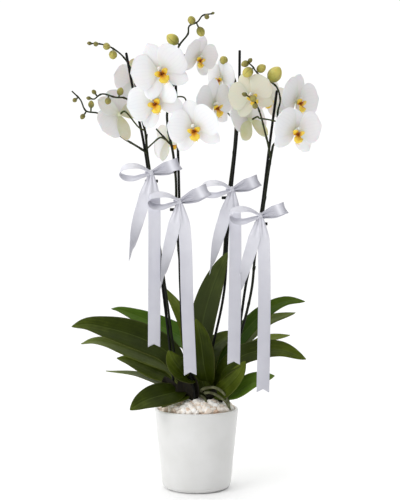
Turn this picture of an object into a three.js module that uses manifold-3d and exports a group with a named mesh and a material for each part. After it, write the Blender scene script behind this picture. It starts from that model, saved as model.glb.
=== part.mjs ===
// Potted orchid: two white moth orchids with four flower spikes, each tied with a satin
// bow to its support stake, standing in one white glazed cover pot.
// Millimetres, +Z up, +X to the viewer's right, +Y away from the viewer.
// The origin is the middle of the pot's base.
import * as THREE from 'three';
import { mergeVertices } from 'three/addons/utils/BufferGeometryUtils.js';
import Module from 'manifold-3d';

const wasm = await Module();
wasm.setup();

// Driving dimensions.
const GAP = 0.3; // between pieces that touch
const POT_HEIGHT = 130;
const POT_TOP_RADIUS = 69;
const POT_SHOULDER_RADIUS = 57; // outside, where the side meets the rounded bottom corner
const POT_BASE_RADIUS = 47; // the flat face it stands on
const POT_CORNER = 11;
const POT_WALL = 5;
const POT_FLOOR = 8; // thickness of its bottom
const POT_LIP = 3; // height of the rounded rim
const LINER_TOP = 118;
const LINER_TOP_RADIUS = 58;
const LINER_BASE_RADIUS = 44;
const LINER_WALL = 1.2;
const LINER_RIM = 3;
const LINER_DRAIN_RADIUS = 4;
const LINER_DRAIN_AWAY = 26; // of a drain hole from the middle
const BARK_TOP = LINER_TOP;
const MOUND_EDGE = 126; // height of the stones at the pot's wall
const MOUND_TOP = 141; // and in the middle
const PEBBLE_COUNT = 26;
const PEBBLE_SIZE = 10;
const PEBBLE_SEED = 7;
const STAKE_RADIUS = 2.2;
const STAKE_FOOT = 30; // height of the stakes' lower ends, in the bark
const SPIKE_RADIUS = 2.3;
const SPIKE_STEPS = 14;
const BRANCH_STEPS = 8;
const BRANCH_RADIUS = 1.9;
const TWIG_RADIUS = 1.2; // of a branch's end and of the buds' stalks
const BESIDE = 5.4; // from the middle of a stake to the middle of the spike tied to it
const PEDICEL_RADIUS = 1.3;
const CLIP_WALL = 1.3;
const CLIP_HEIGHT = 5;
const CLIP_TAB = 8;
const RIBBON_WIDTH = 20;
const RIBBON_THICKNESS = 0.8;
const KNOT_FRONT = 9.6; // from the middle of the tied bundle to the middle of the knot
const LEAF_THICKNESS = 2.2;
const TEPAL_THICKNESS = 1;
const RECEPTACLE_BACK = 6; // from the middle of a full bloom to its flat back
const RECEPTACLE_FRONT = 3.1;
const RECEPTACLE_RADIUS = 5.6;
const TEPAL_FOOT = 1.4; // half its width where it leaves the receptacle
const TEPAL_START = 2.4; // from the middle of the bloom
const CROWN_RADIUS = 8;
const CROWN_FOOT = 98;
const ROOT_SINK = 3; // how deep in a crown's side the things start that grow from it

// Colours and finishes.
const finish = (colour, roughness, metalness = 0) => ({ color: colour, roughness, metalness });
const LOOKS = {
  pot: finish(0xefefee, 0.28),
  liner: finish(0xd8dcd8, 0.2),
  bark: finish(0x4a3322, 0.95),
  pebbles: finish(0xf0e4d4, 0.85),
  stake: finish(0x14180c, 0.5),
  spike: finish(0x39451a, 0.5),
  crown: finish(0x3c4f17, 0.5),
  leaf: finish(0x3b5416, 0.38),
  bow: finish(0xe8e8f2, 0.4),
  bloom: finish(0xf6f5f2, 0.6),
  lip: finish(0xe8b41e, 0.5),
};

// ---- Solids -------------------------------------------------------------------------

const vec = (p) => new THREE.Vector3(p[0], p[1], p[2]);
const turn = (degrees) => THREE.MathUtils.degToRad(degrees);

// A closed body from points and triangles, with its faces turned outward.
function body(points, triangles) {
  let volume = 0;
  for (const [a, b, c] of triangles) {
    volume += points[a].dot(points[b].clone().cross(points[c]));
  }
  const outward = volume > 0 ? triangles : triangles.map(([a, b, c]) => [a, c, b]);
  const geometry = new THREE.BufferGeometry();
  const positions = points.flatMap((p) => [p.x, p.y, p.z]);
  geometry.setAttribute('position', new THREE.Float32BufferAttribute(positions, 3));
  geometry.setIndex(outward.flat());
  return geometry;
}

function toSolid(geometry) {
  const bare = geometry.clone();
  bare.deleteAttribute('normal');
  bare.deleteAttribute('uv');
  const merged = mergeVertices(bare, 1e-4);
  return new wasm.Manifold(new wasm.Mesh({
    numProp: 3,
    vertProperties: merged.attributes.position.array,
    triVerts: new Uint32Array(merged.index.array),
  }));
}

function toGeometry(solid) {
  const mesh = solid.getMesh();
  const geometry = new THREE.BufferGeometry();
  geometry.setAttribute('position', new THREE.Float32BufferAttribute(mesh.vertProperties, 3));
  geometry.setIndex([...mesh.triVerts]);
  return geometry;
}

const joined = (geometries) => toGeometry(
  geometries.map(toSolid).reduce((whole, piece) => whole.add(piece)),
);

const pierced = (geometry, cutters) => toGeometry(
  cutters.map(toSolid).reduce((whole, cutter) => whole.subtract(cutter), toSolid(geometry)),
);

// A body through a row of rings that have the same number of points each.
function loft(rings) {
  const sides = rings[0].length;
  const triangles = [];
  for (let i = 0; i + 1 < rings.length; i += 1) {
    for (let j = 0; j < sides; j += 1) {
      const a = i * sides + j;
      const b = i * sides + ((j + 1) % sides);
      triangles.push([a, b, b + sides], [a, b + sides, a + sides]);
    }
  }
  const last = (rings.length - 1) * sides;
  for (let j = 1; j + 1 < sides; j += 1) {
    triangles.push([0, j + 1, j], [last, last + j, last + j + 1]);
  }
  return body(rings.flat(), triangles);
}

// A round rod along a curve through the points, tapering from one radius to the other.
function rod(points, startRadius, endRadius, sides, steps) {
  const curve = new THREE.CatmullRomCurve3(points, false, 'centripetal');
  const frames = curve.computeFrenetFrames(steps, false);
  const rings = [];
  for (let i = 0; i <= steps; i += 1) {
    const middle = curve.getPointAt(i / steps);
    const radius = THREE.MathUtils.lerp(startRadius, endRadius, i / steps);
    const ring = [];
    for (let j = 0; j < sides; j += 1) {
      const angle = (j / sides) * 2 * Math.PI;
      ring.push(middle.clone()
        .addScaledVector(frames.normals[i], radius * Math.cos(angle))
        .addScaledVector(frames.binormals[i], radius * Math.sin(angle)));
    }
    rings.push(ring);
  }
  return loft(rings);
}

// A thin sheet: surface(u, v) gives its middle, u from 0 to 1 along, v from -1 to 1 across.
// Both faces are split into triangles alike.
function sheet(surface, along, across, thickness) {
  const front = [];
  const back = [];
  const nudge = 1e-3;
  for (let i = 0; i <= along; i += 1) {
    for (let j = 0; j <= across; j += 1) {
      const u = i / along;
      const v = (2 * j) / across - 1;
      const alongStep = surface(Math.min(u + nudge, 1), v).sub(surface(Math.max(u - nudge, 0), v));
      const acrossStep = surface(u, Math.min(v + nudge, 1)).sub(surface(u, Math.max(v - nudge, -1)));
      const normal = acrossStep.cross(alongStep).normalize().multiplyScalar(thickness / 2);
      const middle = surface(u, v);
      front.push(middle.clone().add(normal));
      back.push(middle.sub(normal));
    }
  }
  const row = across + 1;
  const behind = front.length;
  const triangles = [];
  for (let i = 0; i < along; i += 1) {
    for (let j = 0; j < across; j += 1) {
      const a = i * row + j;
      const c = a + row + 1;
      triangles.push([a, a + 1, c], [a, c, a + row]);
      triangles.push([behind + a, behind + c, behind + a + 1]);
      triangles.push([behind + a, behind + a + row, behind + c]);
    }
  }
  const edge = [];
  for (let j = 0; j < across; j += 1) edge.push(j);
  for (let i = 0; i < along; i += 1) edge.push(i * row + across);
  for (let j = across; j > 0; j -= 1) edge.push(along * row + j);
  for (let i = along; i > 0; i -= 1) edge.push(i * row);
  edge.forEach((a, k) => {
    const b = edge[(k + 1) % edge.length];
    triangles.push([b, a, behind + a], [b, behind + a, behind + b]);
  });
  return body([...front, ...back], triangles);
}

// A body of revolution about +Z through [radius, height] points that start and end on the axis.
function turned(profile, segments) {
  const geometry = new THREE.LatheGeometry(profile.map(([r, z]) => new THREE.Vector2(r, z)), segments);
  geometry.rotateX(Math.PI / 2);
  return faceOut(geometry);
}

// The same body with its triangles the other way round where they face inward.
function faceOut(geometry) {
  const bare = geometry.clone();
  bare.deleteAttribute('normal');
  bare.deleteAttribute('uv');
  const merged = mergeVertices(bare, 1e-4);
  const place = merged.attributes.position;
  const points = [];
  for (let i = 0; i < place.count; i += 1) points.push(new THREE.Vector3().fromBufferAttribute(place, i));
  const triangles = [];
  const order = merged.index.array;
  for (let i = 0; i < order.length; i += 3) {
    const [a, b, c] = [order[i], order[i + 1], order[i + 2]];
    if (a !== b && b !== c && c !== a) triangles.push([a, b, c]);
  }
  return body(points, triangles);
}

// Places a geometry that was made along +Z so that it starts at a point and runs in a direction.
function aimed(geometry, start, direction) {
  const swing = new THREE.Quaternion().setFromUnitVectors(
    new THREE.Vector3(0, 0, 1), direction.clone().normalize(),
  );
  return geometry.applyQuaternion(swing).translate(start.x, start.y, start.z);
}

const group = new THREE.Group();

function add(name, look, geometry) {
  const mesh = new THREE.Mesh(geometry, new THREE.MeshStandardMaterial(LOOKS[look]));
  mesh.name = name;
  group.add(mesh);
}

// ---- Stakes -------------------------------------------------------------------------
// Each stake is one bent rod. Its first two points are the straight part in the bark.

const STAKES = {
  a: [[-33, -8, STAKE_FOOT], [-36, -9, 148], [-44, -8, 233], [-55, -7, 324], [-67, -7, 420],
    [-79, -10, 516], [-88, -12, 574], [-98, -11, 620], [-106, -11, 664], [-115, -12, 712]],
  b: [[4, -26, STAKE_FOOT], [-2, -26, 148], [-20, -18, 232], [-26, -14, 318], [-28, -16, 400],
    [-28, -20, 469], [-30, -23, 551], [-32, -23, 613], [-34, -22, 668]],
  c: [[-2, 40, STAKE_FOOT], [6, 40, 148], [30, 32, 240], [46, 20, 320], [52, 12, 420],
    [58, 10, 490], [67, 12, 580], [71, 15, 656], [72, 17, 722]],
  d: [[38, 4, STAKE_FOOT], [52, 1, 148], [73, -2, 275], [81, -4, 331], [93, -6, 390],
    [105, -8, 446], [119, -8, 554], [125, -8, 600], [132, -8, 651]],
};
const STAKE_SIDES = 6;
const STAKE_STEPS = 12;

// The corners of a stake's middle line.
function stakeLine(key) {
  const curve = new THREE.CatmullRomCurve3(STAKES[key].map(vec), false, 'centripetal');
  return curve.getSpacedPoints(STAKE_STEPS);
}

// The middle of a stake at a height, or a point beside it, a turn round it and some way out.
function onStake(key, height, round = 0, away = 0) {
  const line = stakeLine(key);
  const upper = line.findIndex((p) => p.z >= height);
  const [low, high] = [line[upper - 1], line[upper]];
  const middle = low.clone().lerp(high, (height - low.z) / (high.z - low.z));
  const angle = turn(round);
  return middle.add(new THREE.Vector3(Math.cos(angle) * away, Math.sin(angle) * away, 0));
}

// A clip: a ring round the spike that grips the stake with its side, and two finger tabs.
function clip(key, height, round) {
  const middle = onStake(key, height, round, BESIDE);
  const bore = (SPIKE_RADIUS + GAP) / Math.cos(Math.PI / 8);
  const outline = new THREE.Shape().absarc(0, 0, bore + CLIP_WALL, 0, 2 * Math.PI);
  outline.holes.push(new THREE.Path().absarc(0, 0, bore, 0, 2 * Math.PI));
  const extrusion = { depth: CLIP_HEIGHT, bevelEnabled: false, curveSegments: 4 };
  const ring = new THREE.ExtrudeGeometry(outline, extrusion);
  const tab = new THREE.BoxGeometry(CLIP_TAB, 1.6, CLIP_HEIGHT);
  const reach = bore + (CLIP_WALL + CLIP_TAB) / 2;
  const tabs = [20, 160].map((degrees) => {
    const angle = turn(degrees);
    const one = tab.clone().rotateZ(angle);
    return one.translate(reach * Math.cos(angle), reach * Math.sin(angle), CLIP_HEIGHT / 2);
  });
  return [faceOut(ring), ...tabs].map((g) => g.translate(middle.x, middle.y, middle.z - CLIP_HEIGHT / 2));
}

const CLIPS = {
  a: [[503, -45]],
  b: [[456, 180]],
  c: [[477, 90]],
  d: [[433, -45]],
};

function shaft(key, radius) {
  return rod(STAKES[key].map(vec), radius, radius, STAKE_SIDES, STAKE_STEPS);
}

function stake(key) {
  const clips = CLIPS[key].flatMap(([height, round]) => clip(key, height, round));
  return joined([shaft(key, STAKE_RADIUS), ...clips]);
}

// ---- Crowns -------------------------------------------------------------------------
// The short stem of each plant, from which its leaves, spikes and roots grow.

const CROWNS = {
  left: { foot: [-16, 0], top: 182 },
  right: { foot: [25, 4], top: 178 },
};

// A point a little way into a crown's side, at a height and a turn round it.
function onCrown(key, round, height) {
  const [x, y] = CROWNS[key].foot;
  const away = CROWN_RADIUS - ROOT_SINK;
  return [x + away * Math.cos(turn(round)), y + away * Math.sin(turn(round)), height];
}

function crownStem(key, extra = 0) {
  const { foot: [x, y], top } = CROWNS[key];
  const radius = CROWN_RADIUS + extra;
  const foot = CROWN_FOOT - extra;
  const profile = [[0, foot], [radius - 3, foot], [radius, foot + 12], [radius, top - 14],
    [radius - 2, top - 4], [0, top]];
  return turned(profile, 10).translate(x, y, 0);
}

// ---- Leaves -------------------------------------------------------------------------
// A strap leaf: folded along its middle rib, narrow where it clasps the crown.
// facing is where its upper side looks near the crown, tipFacing at the tip.

const LEAF_STEPS = 5;

function leafHalfWidth(u) {
  const rise = 0.22 + 0.78 * Math.sin((Math.min(u / 0.5, 1) * Math.PI) / 2);
  const past = Math.max(0, (u - 0.55) / 0.45);
  return rise * Math.sqrt(1 - 0.994 * past ** 2.4);
}

function blade({ path, width, facing, tipFacing = facing, fold = 0.22, steps = LEAF_STEPS }) {
  const curve = new THREE.CatmullRomCurve3(path.map(vec), false, 'centripetal');
  const surface = (u, v) => {
    const along = curve.getTangentAt(u);
    const up = vec(facing).normalize().lerp(vec(tipFacing).normalize(), u);
    up.addScaledVector(along, -up.dot(along)).normalize();
    const across = along.clone().cross(up);
    const half = (width / 2) * leafHalfWidth(u);
    const channel = fold * (1 + 1.4 * (1 - u) ** 3);
    return curve.getPointAt(u)
      .addScaledVector(across, v * half)
      .addScaledVector(up, Math.abs(v) * half * channel);
  };
  return sheet(surface, steps, 2, LEAF_THICKNESS);
}

// A leaf's foot follows the crown's round side, a gap away from it.
function leaf({ crown: key, round, height, path, ...form }) {
  const root = onCrown(key, round, height);
  return pierced(blade({ path: [root, ...path], ...form }), [crownStem(key, GAP)]);
}

const LEAVES = {
  leaf_left_long: {
    crown: 'left', round: 158, height: 167, width: 56, facing: [0, -0.62, 0.78],
    path: [[-47, 27, 216], [-105, 34, 252], [-162, 28, 274], [-203, 22, 266]],
  },
  leaf_left_back: {
    crown: 'left', round: 22, height: 170, width: 42, facing: [0.1, -0.8, 0.6], tipFacing: [0.3, -0.2, 0.95],
    path: [[1, 13, 184], [6, 30, 205], [0, 48, 225], [-24, 72, 254], [-70, 86, 284], [-122, 82, 300],
      [-150, 76, 299]],
  },
  leaf_left_middle: {
    crown: 'left', round: 160, height: 160, width: 50, facing: [0, -0.62, 0.78],
    path: [[-64, 36, 218], [-110, 44, 235], [-158, 46, 243], [-194, 44, 233]],
  },
  leaf_left_lower: {
    crown: 'left', round: 162, height: 153, width: 40, facing: [0, -0.62, 0.78],
    path: [[-57, 38, 184], [-92, 48, 199], [-135, 52, 208]],
  },
  leaf_left_edge: {
    crown: 'left', round: 166, height: 148, width: 30, facing: [0, -0.12, 0.99],
    path: [[-58, 30, 163], [-100, 42, 177], [-154, 44, 185]],
  },
  leaf_left_front: {
    crown: 'left', round: 228, height: 160, width: 44, facing: [0.1, -0.75, 0.66],
    path: [[-42, -36, 168], [-72, -57, 163], [-104, -78, 143]],
  },
  leaf_right_upright: {
    crown: 'right', round: 188, height: 174, width: 48, facing: [-0.25, -0.95, 0.1],
    path: [[14, 2, 224], [22, 2, 299], [35, -3, 349], [46, -6, 376]],
  },
  leaf_right_broad: {
    crown: 'right', round: 224, height: 163, width: 44, facing: [-0.4, -0.9, 0.1],
    path: [[13, -24, 200], [7, -28, 245], [-1, -27, 278]],
  },
  leaf_right_long: {
    crown: 'right', round: 326, height: 162, width: 42, facing: [-0.1, -0.75, 0.66],
    path: [[48, -27, 200], [82, -38, 228], [134, -45, 232], [176, -45, 211]],
  },
  leaf_right_back: {
    crown: 'right', round: 64, height: 170, width: 40, facing: [-0.1, -0.75, 0.65],
    path: [[40, 25, 195], [66, 42, 232], [111, 49, 280], [150, 48, 303], [183, 44, 304]],
  },
  leaf_right_far: {
    crown: 'right', round: 82, height: 160, width: 34, facing: [-0.3, -0.6, 0.75],
    path: [[36, 40, 184], [64, 62, 216], [120, 80, 266], [172, 90, 283]],
  },
  leaf_right_low: {
    crown: 'right', round: 344, height: 151, width: 34, facing: [-0.3, -0.75, 0.6],
    path: [[62, -28, 160], [94, -42, 182], [125, -50, 191]],
  },
  leaf_right_side: {
    crown: 'right', round: 38, height: 152, width: 32, facing: [-0.3, -0.5, 0.8],
    path: [[52, 16, 172], [70, 26, 205], [112, 27, 240], [155, 20, 252]],
  },
};

// The young leaves and aerial roots that are part of each crown.
const CROWN_LEAVES = {
  left: [
    {
      width: 34, facing: [0.1, -0.4, 0.9], tipFacing: [0.2, -0.95, 0.2],
      path: [[-15, -4, 166], [-26, -28, 177], [-37, -42, 204], [-44, -48, 228]],
    },
    {
      width: 26, facing: [0.4, -0.9, 0], tipFacing: [-0.7, -0.6, 0.3],
      path: [[-15, 0, 174], [-12, 8, 222], [-17, 16, 264], [-33, 17, 298], [-54, 10, 328]],
    },
    {
      width: 24, facing: [0.2, -0.4, 0.9],
      path: [[-17, -4, 151], [-23, -28, 152], [-38, -46, 149], [-55, -60, 140]],
    },
  ],
  right: [
    {
      width: 32, facing: [-0.5, -0.8, 0.3],
      path: [[25, 0, 152], [39, -29, 157], [60, -47, 178], [70, -60, 197]],
    },
  ],
};
const CROWN_ROOTS = {
  left: [[[-12, -2, 154], [4, -14, 160], [10, -30, 154], [8, -42, 144]]],
  right: [
    [[20, 0, 156], [12, -22, 162], [32, -38, 158], [50, -36, 144]],
    [[28, 10, 148], [24, 27, 151], [34, 38, 142]],
  ],
};

function crown(key) {
  const young = CROWN_LEAVES[key].map((one) => blade({ ...one, steps: 5 }));
  const roots = CROWN_ROOTS[key].map((path) => rod(path.map(vec), 2.6, 2.2, 5, 5));
  return joined([crownStem(key), ...young, ...roots]);
}

// ---- Blooms -------------------------------------------------------------------------
// A bloom is made lying flat, facing +Z, with its top sepal along +Y, then turned into place.

// size is the bloom's span over a full one's, cup the degrees its tepals fold forward.
const BLOOMS = {
  bloom_01: { at: [-55, -77, 671], face: [0.2, -0.95, -0.15], up: [-0.3, 0, 0.95], size: 1 },
  bloom_02: { at: [-64, -50, 629], face: [0.3, -0.92, -0.16], up: [-0.5, 0, 0.9], size: 0.94 },
  bloom_03: { at: [-103, 26, 672], face: [-0.45, 0.88, -0.1], up: [-0.1, 0, 1], size: 0.93 },
  bloom_04: { at: [-123, -12, 612], face: [-0.6, 0.75, -0.15], up: [-0.8, -0.4, 0.45], size: 0.92 },
  bloom_05: { at: [-4, -50, 585], face: [0.45, -0.8, -0.35], up: [-0.15, 0, 1], size: 0.98 },
  bloom_06: { at: [28, -19, 627], face: [0.35, -0.92, -0.2], up: [-0.3, 0, 0.95], size: 0.84 },
  bloom_07: { at: [3, -15, 705], face: [0.25, -0.9, -0.3], up: [0.2, 0, 1], size: 0.76, cup: 12 },
  bloom_08: { at: [45, 12, 670], face: [-0.8, -0.6, -0.05], up: [0.15, 0, 1], size: 0.66 },
  bloom_09: { at: [89, -20, 642], face: [0.04, -0.98, -0.2], up: [-0.38, 0, 0.92], size: 0.84 },
  bloom_10: { at: [122, 42, 639], face: [0.1, -0.95, -0.2], up: [0.3, 0, 1], size: 0.74 },
  bloom_11: { at: [89, 8, 611], face: [-0.65, 0.72, -0.25], up: [0, 0, 1], size: 0.86 },
  bloom_12: { at: [167, 16, 639], face: [0.25, -0.93, -0.2], up: [0.25, 0, 0.97], size: 0.96 },
  bloom_13: { at: [161, -32, 584], face: [0.3, -0.9, -0.25], up: [0.12, 0, 1], size: 1 },
  bloom_14: { at: [-56, 18, 573], face: [0.75, 0.6, -0.3], up: [0.1, 0, 1], size: 0.84 },
};

// The tepals: the turn of each from the top one, its length and width, and how far forward it sits.
const SEPAL = { length: 46, width: 27, lift: -1.2, recurve: 0.1, steps: 3, across: 1 };
const PETAL = { length: 46, width: 54, lift: 1.2, recurve: 0.06, steps: 3, across: 2 };
const TEPALS = [
  { ...SEPAL, round: 0 },
  { ...SEPAL, round: 132 },
  { ...SEPAL, round: -132 },
  { ...PETAL, round: 70 },
  { ...PETAL, round: -70 },
];

function sepalHalfWidth(u, width) {
  const swell = Math.sin(Math.PI * Math.min(u ** 0.9, 0.94)) ** 0.8;
  return THREE.MathUtils.lerp(TEPAL_FOOT, width / 2, swell);
}

function petalHalfWidth(u, width) {
  const rise = Math.sin((Math.min(u / 0.6, 1) * Math.PI) / 2) ** 1.1;
  const past = Math.max(0, (u - 0.6) / 0.4);
  return THREE.MathUtils.lerp(TEPAL_FOOT, width / 2, rise * (1 - 0.3 * past ** 2));
}

function tepal({ round, length, width, lift, recurve, steps, across }, cup) {
  const broad = width > length;
  const out = new THREE.Vector3(Math.sin(turn(round)), Math.cos(turn(round)), 0);
  const side = new THREE.Vector3(out.y, -out.x, 0);
  const surface = (u, v) => {
    const half = broad ? petalHalfWidth(u, width) : sepalHalfWidth(u, width);
    const reach = TEPAL_START + (length - TEPAL_START) * u * (1 - (broad ? 0.3 : 0.1) * v * v * u);
    const bend = turn(cup) * reach;
    const forward = lift + bend - recurve * length * u * u - (broad ? 0.03 : 0.1) * half * v * v;
    return new THREE.Vector3(0, 0, forward)
      .addScaledVector(out, reach * Math.cos(turn(cup)))
      .addScaledVector(side, half * v);
  };
  return sheet(surface, steps, across, TEPAL_THICKNESS);
}

// The receptacle is a short prism with a side for each tepal to grow from.
function receptacle() {
  const rounds = TEPALS.map(({ round }) => round).sort((a, b) => a - b);
  const corners = rounds.map((round, k) => {
    const next = k + 1 < rounds.length ? rounds[k + 1] : rounds[0] + 360;
    const middle = turn((round + next) / 2);
    return new THREE.Vector2(RECEPTACLE_RADIUS * Math.sin(middle), RECEPTACLE_RADIUS * Math.cos(middle));
  });
  const depth = RECEPTACLE_BACK + RECEPTACLE_FRONT;
  const prism = new THREE.ExtrudeGeometry(new THREE.Shape(corners), { depth, bevelEnabled: false });
  return faceOut(prism.translate(0, 0, -RECEPTACLE_BACK));
}

function column() {
  return rod([[0, 1.2, 2], [0, 2.4, 6], [0, 4, 10.5]].map(vec), 3, 2.4, 4, 2);
}

function bloom({ cup = 6 }) {
  return joined([receptacle(), column(), ...TEPALS.map((one) => tepal(one, cup))]);
}

// A row of values at even places from 0 to 1, read between them.
function between(values, u) {
  const place = u * (values.length - 1);
  const low = Math.min(Math.floor(place), values.length - 2);
  return THREE.MathUtils.lerp(values[low], values[low + 1], place - low);
}

// The lip: one curved blade, wide and upturned beside the column, with a waist and then the
// middle lobe that points down, on a block in front of the receptacle.
function lip() {
  const root = RECEPTACLE_FRONT + GAP;
  const pad = new THREE.BoxGeometry(4.4, 4.4, 7).translate(0, -5, root + 3.5);
  const surface = (u, v) => new THREE.Vector3(
    between([7, 12, 5, 8, 2.2], u) * v,
    -3.5 - 17 * u + between([4.5, 9, 0, 0, 0], u) * v * v,
    root + 3 + 11 * Math.sin(2.4 * u) + 2 * v * v,
  );
  return joined([faceOut(pad), sheet(surface, 4, 2, TEPAL_THICKNESS)]);
}

// The turn and place of a bloom.
function bloomPlace({ at, face, up, size }) {
  const forward = vec(face).normalize();
  const top = vec(up);
  top.addScaledVector(forward, -top.dot(forward)).normalize();
  const right = top.clone().cross(forward);
  return new THREE.Matrix4().makeBasis(right, top, forward)
    .scale(new THREE.Vector3(size, size, size))
    .setPosition(vec(at));
}

// Where a bloom's stalk ends, just behind the bloom's flat back, and the way it runs there.
function bloomStalk(name) {
  const { at, face, size } = BLOOMS[name];
  const way = vec(face).normalize();
  const end = vec(at).addScaledVector(way, -(RECEPTACLE_BACK * size + GAP));
  return { end, before: end.clone().addScaledVector(way, -12) };
}

// ---- Flower spikes ------------------------------------------------------------------
// Every spike is one green stem that leaves a crown, runs beside its stake through the clips
// and then branches. Its stalks end behind the blooms or in unopened buds.

const beside = (key, height, round, away = BESIDE) => onStake(key, height, round, away).toArray();

const SPIKES = {
  a: {
    crown: 'left',
    stem: [onCrown('left', 215, 174), [-32, -5, 200], beside('a', 240, 30, 6), beside('a', 290, -20),
      beside('a', 400, -45), beside('a', 503, -45), beside('a', 550, -45), beside('a', 580, -10, 6),
      beside('a', 605, 35, 6.5)],
    branches: [
      [[-92, -5, 606], [-98, 2, 640], [-105, 7, 680], [-119, 2, 707], [-140, -12, 722],
        [-157, -19, 726], [-170, -23, 726]],
      [[-92, -5, 606], [-99, 1, 620], [-108, -6, 633], [-118, -20, 638], [-131, -32, 637],
        [-152, -40, 641], [-164, -40, 633]],
      [[-82, -15, 548], [-92, -20, 556], [-106, -12, 565], [-124, 0, 577], [-148, -6, 602],
        [-161, -10, 614], [-181, -12, 618], [-190, -14, 636], [-203, -18, 649]],
    ],
    buds: [
      { at: [-136, -20, 709], size: 14 },
      { at: [-146, -24, 725], size: 12 },
      { at: [-163, -28, 724], size: 9 },
      { at: [-174, -24, 726], size: 7 },
      { at: [-123, -34, 646], size: 12 },
      { at: [-142, -44, 629], size: 11 },
      { at: [-164, -48, 643], size: 8 },
      { at: [-173, -42, 634], size: 7 },
      { at: [-172, -16, 628], size: 11 },
      { at: [-186, -16, 608], size: 9 },
      { at: [-198, -22, 634], size: 8 },
    ],
    stalks: {
      bloom_02: [[-90, -3, 614], [-80, -16, 622]],
      bloom_03: [[-101, 5, 658]],
      bloom_04: [[-86, -12, 585], [-94, -20, 590]],
      bloom_14: [[-82, -13, 555], [-72, -2, 566]],
    },
  },
  b: {
    crown: 'left',
    stem: [onCrown('left', -20, 170), [-8, -10, 205], [-17, -12, 245], beside('b', 300, 45),
      beside('b', 350, 70), beside('b', 400, 115), beside('b', 456, 180), beside('b', 505, 180),
      [-38, -24, 547], [-45, -22, 582], [-48, -16, 613], [-42, -12, 640], [-36, -11, 672]],
    branches: [
      [[-36, -11, 672], [-33, -8, 702], [-29, -6, 725], [-14, -8, 745], [-12, -10, 759],
        [1, -12, 767], [24, -12, 778]],
    ],
    buds: [
      { at: [-42, -12, 738], size: 20 },
      { at: [5, -10, 746], size: 15 },
      { at: [-13, -16, 770], size: 14 },
      { at: [16, -20, 769], size: 9 },
      { at: [27, -12, 779], size: 6 },
    ],
    stalks: {
      bloom_01: [[-36, -11, 668], [-44, -36, 678]],
      bloom_05: [[-42, -12, 640], [-20, -10, 640], [-14, -18, 615]],
      bloom_07: [[-33, -8, 700], [-16, 4, 714]],
    },
  },
  c: {
    crown: 'right',
    stem: [onCrown('right', 140, 166), [14, 19, 215], [28, 22, 285], beside('c', 380, 165),
      beside('c', 430, 120), beside('c', 477, 90), beside('c', 560, 95), [66, 21, 607],
      [67, 26, 642]],
    branches: [
      [[67, 26, 642], [66, 25, 668], [58, 21, 690], [47, 19, 700]],
    ],
    buds: [
      { at: [43, 17, 705], size: 15 },
    ],
    stalks: {
      bloom_06: [[66, 21, 602], [48, 16, 622]],
      bloom_08: [[66, 24, 668]],
      bloom_09: [[67, 26, 640], [81, 22, 650], [88, 8, 650]],
      bloom_10: [[67, 26, 636], [96, 58, 648]],
    },
  },
  d: {
    crown: 'right',
    stem: [onCrown('right', -26, 170), [42, 0, 188], [55, 4, 206], [76, 4, 262], [91, -2, 326],
      beside('d', 387, -20), beside('d', 433, -45), beside('d', 520, -45), [125, -13, 560]],
    branches: [
      [[122, -13, 540], [117, -18, 562], [111, -23, 584], [106, -29, 602], [98, -40, 621],
        [88, -46, 634], [76, -48, 641]],
      [[125, -13, 560], [133, -13, 574], [133, -15, 593], [133, -15, 616], [137, -15, 636],
        [131, -17, 656], [118, -20, 666], [103, -23, 674], [95, -25, 681], [89, -27, 690],
        [81, -27, 697]],
    ],
    buds: [
      { at: [127, -26, 675], size: 25 },
      { at: [106, -30, 687], size: 14 },
      { at: [84, -34, 678], size: 18 },
      { at: [78, -28, 699], size: 10 },
      { at: [72, -49, 643], size: 7 },
      { at: [92, -50, 618], size: 9 },
    ],
    stalks: {
      bloom_11: [[133, -15, 600], [118, -16, 603], [103, -12, 606]],
      bloom_12: [[133, -14, 590], [140, 6, 594], [148, 28, 606], [156, 38, 630]],
      bloom_13: [[132, -13, 572], [145, -12, 583]],
    },
  },
};

// The corners of a stem's middle line.
function cornersOf(path, steps) {
  return new THREE.CatmullRomCurve3(path, false, 'centripetal').getSpacedPoints(steps);
}

// The point on some lines, given by their corners, that is nearest to a point.
function nearestOn(lines, point) {
  const segments = lines.flatMap((corners) => (
    corners.slice(1).map((end, k) => new THREE.Line3(corners[k], end))));
  const spots = segments.map((one) => one.closestPointToPoint(point, true, new THREE.Vector3()));
  return spots.reduce((best, spot) => (
    spot.distanceTo(point) < best.distanceTo(point) ? spot : best));
}

// An unopened bud, and the short stalk that ties it to the nearest branch.
function bud({ at, size }, lines) {
  const middle = vec(at);
  const start = nearestOn(lines, middle);
  const way = middle.clone().sub(start).normalize();
  const length = size * 1.15;
  const profile = [[0, 0], [size * 0.44, length * 0.3], [size * 0.4, length * 0.75], [0, length]];
  const foot = middle.clone().addScaledVector(way, -length / 2);
  const inside = middle.clone().addScaledVector(way, -length * 0.3);
  const pieces = [aimed(turned(profile, 5), foot, way)];
  if (start.distanceTo(middle) > length * 0.4) {
    pieces.push(rod([start, inside], TWIG_RADIUS, TWIG_RADIUS, 3, 1));
  }
  return pieces;
}

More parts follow.
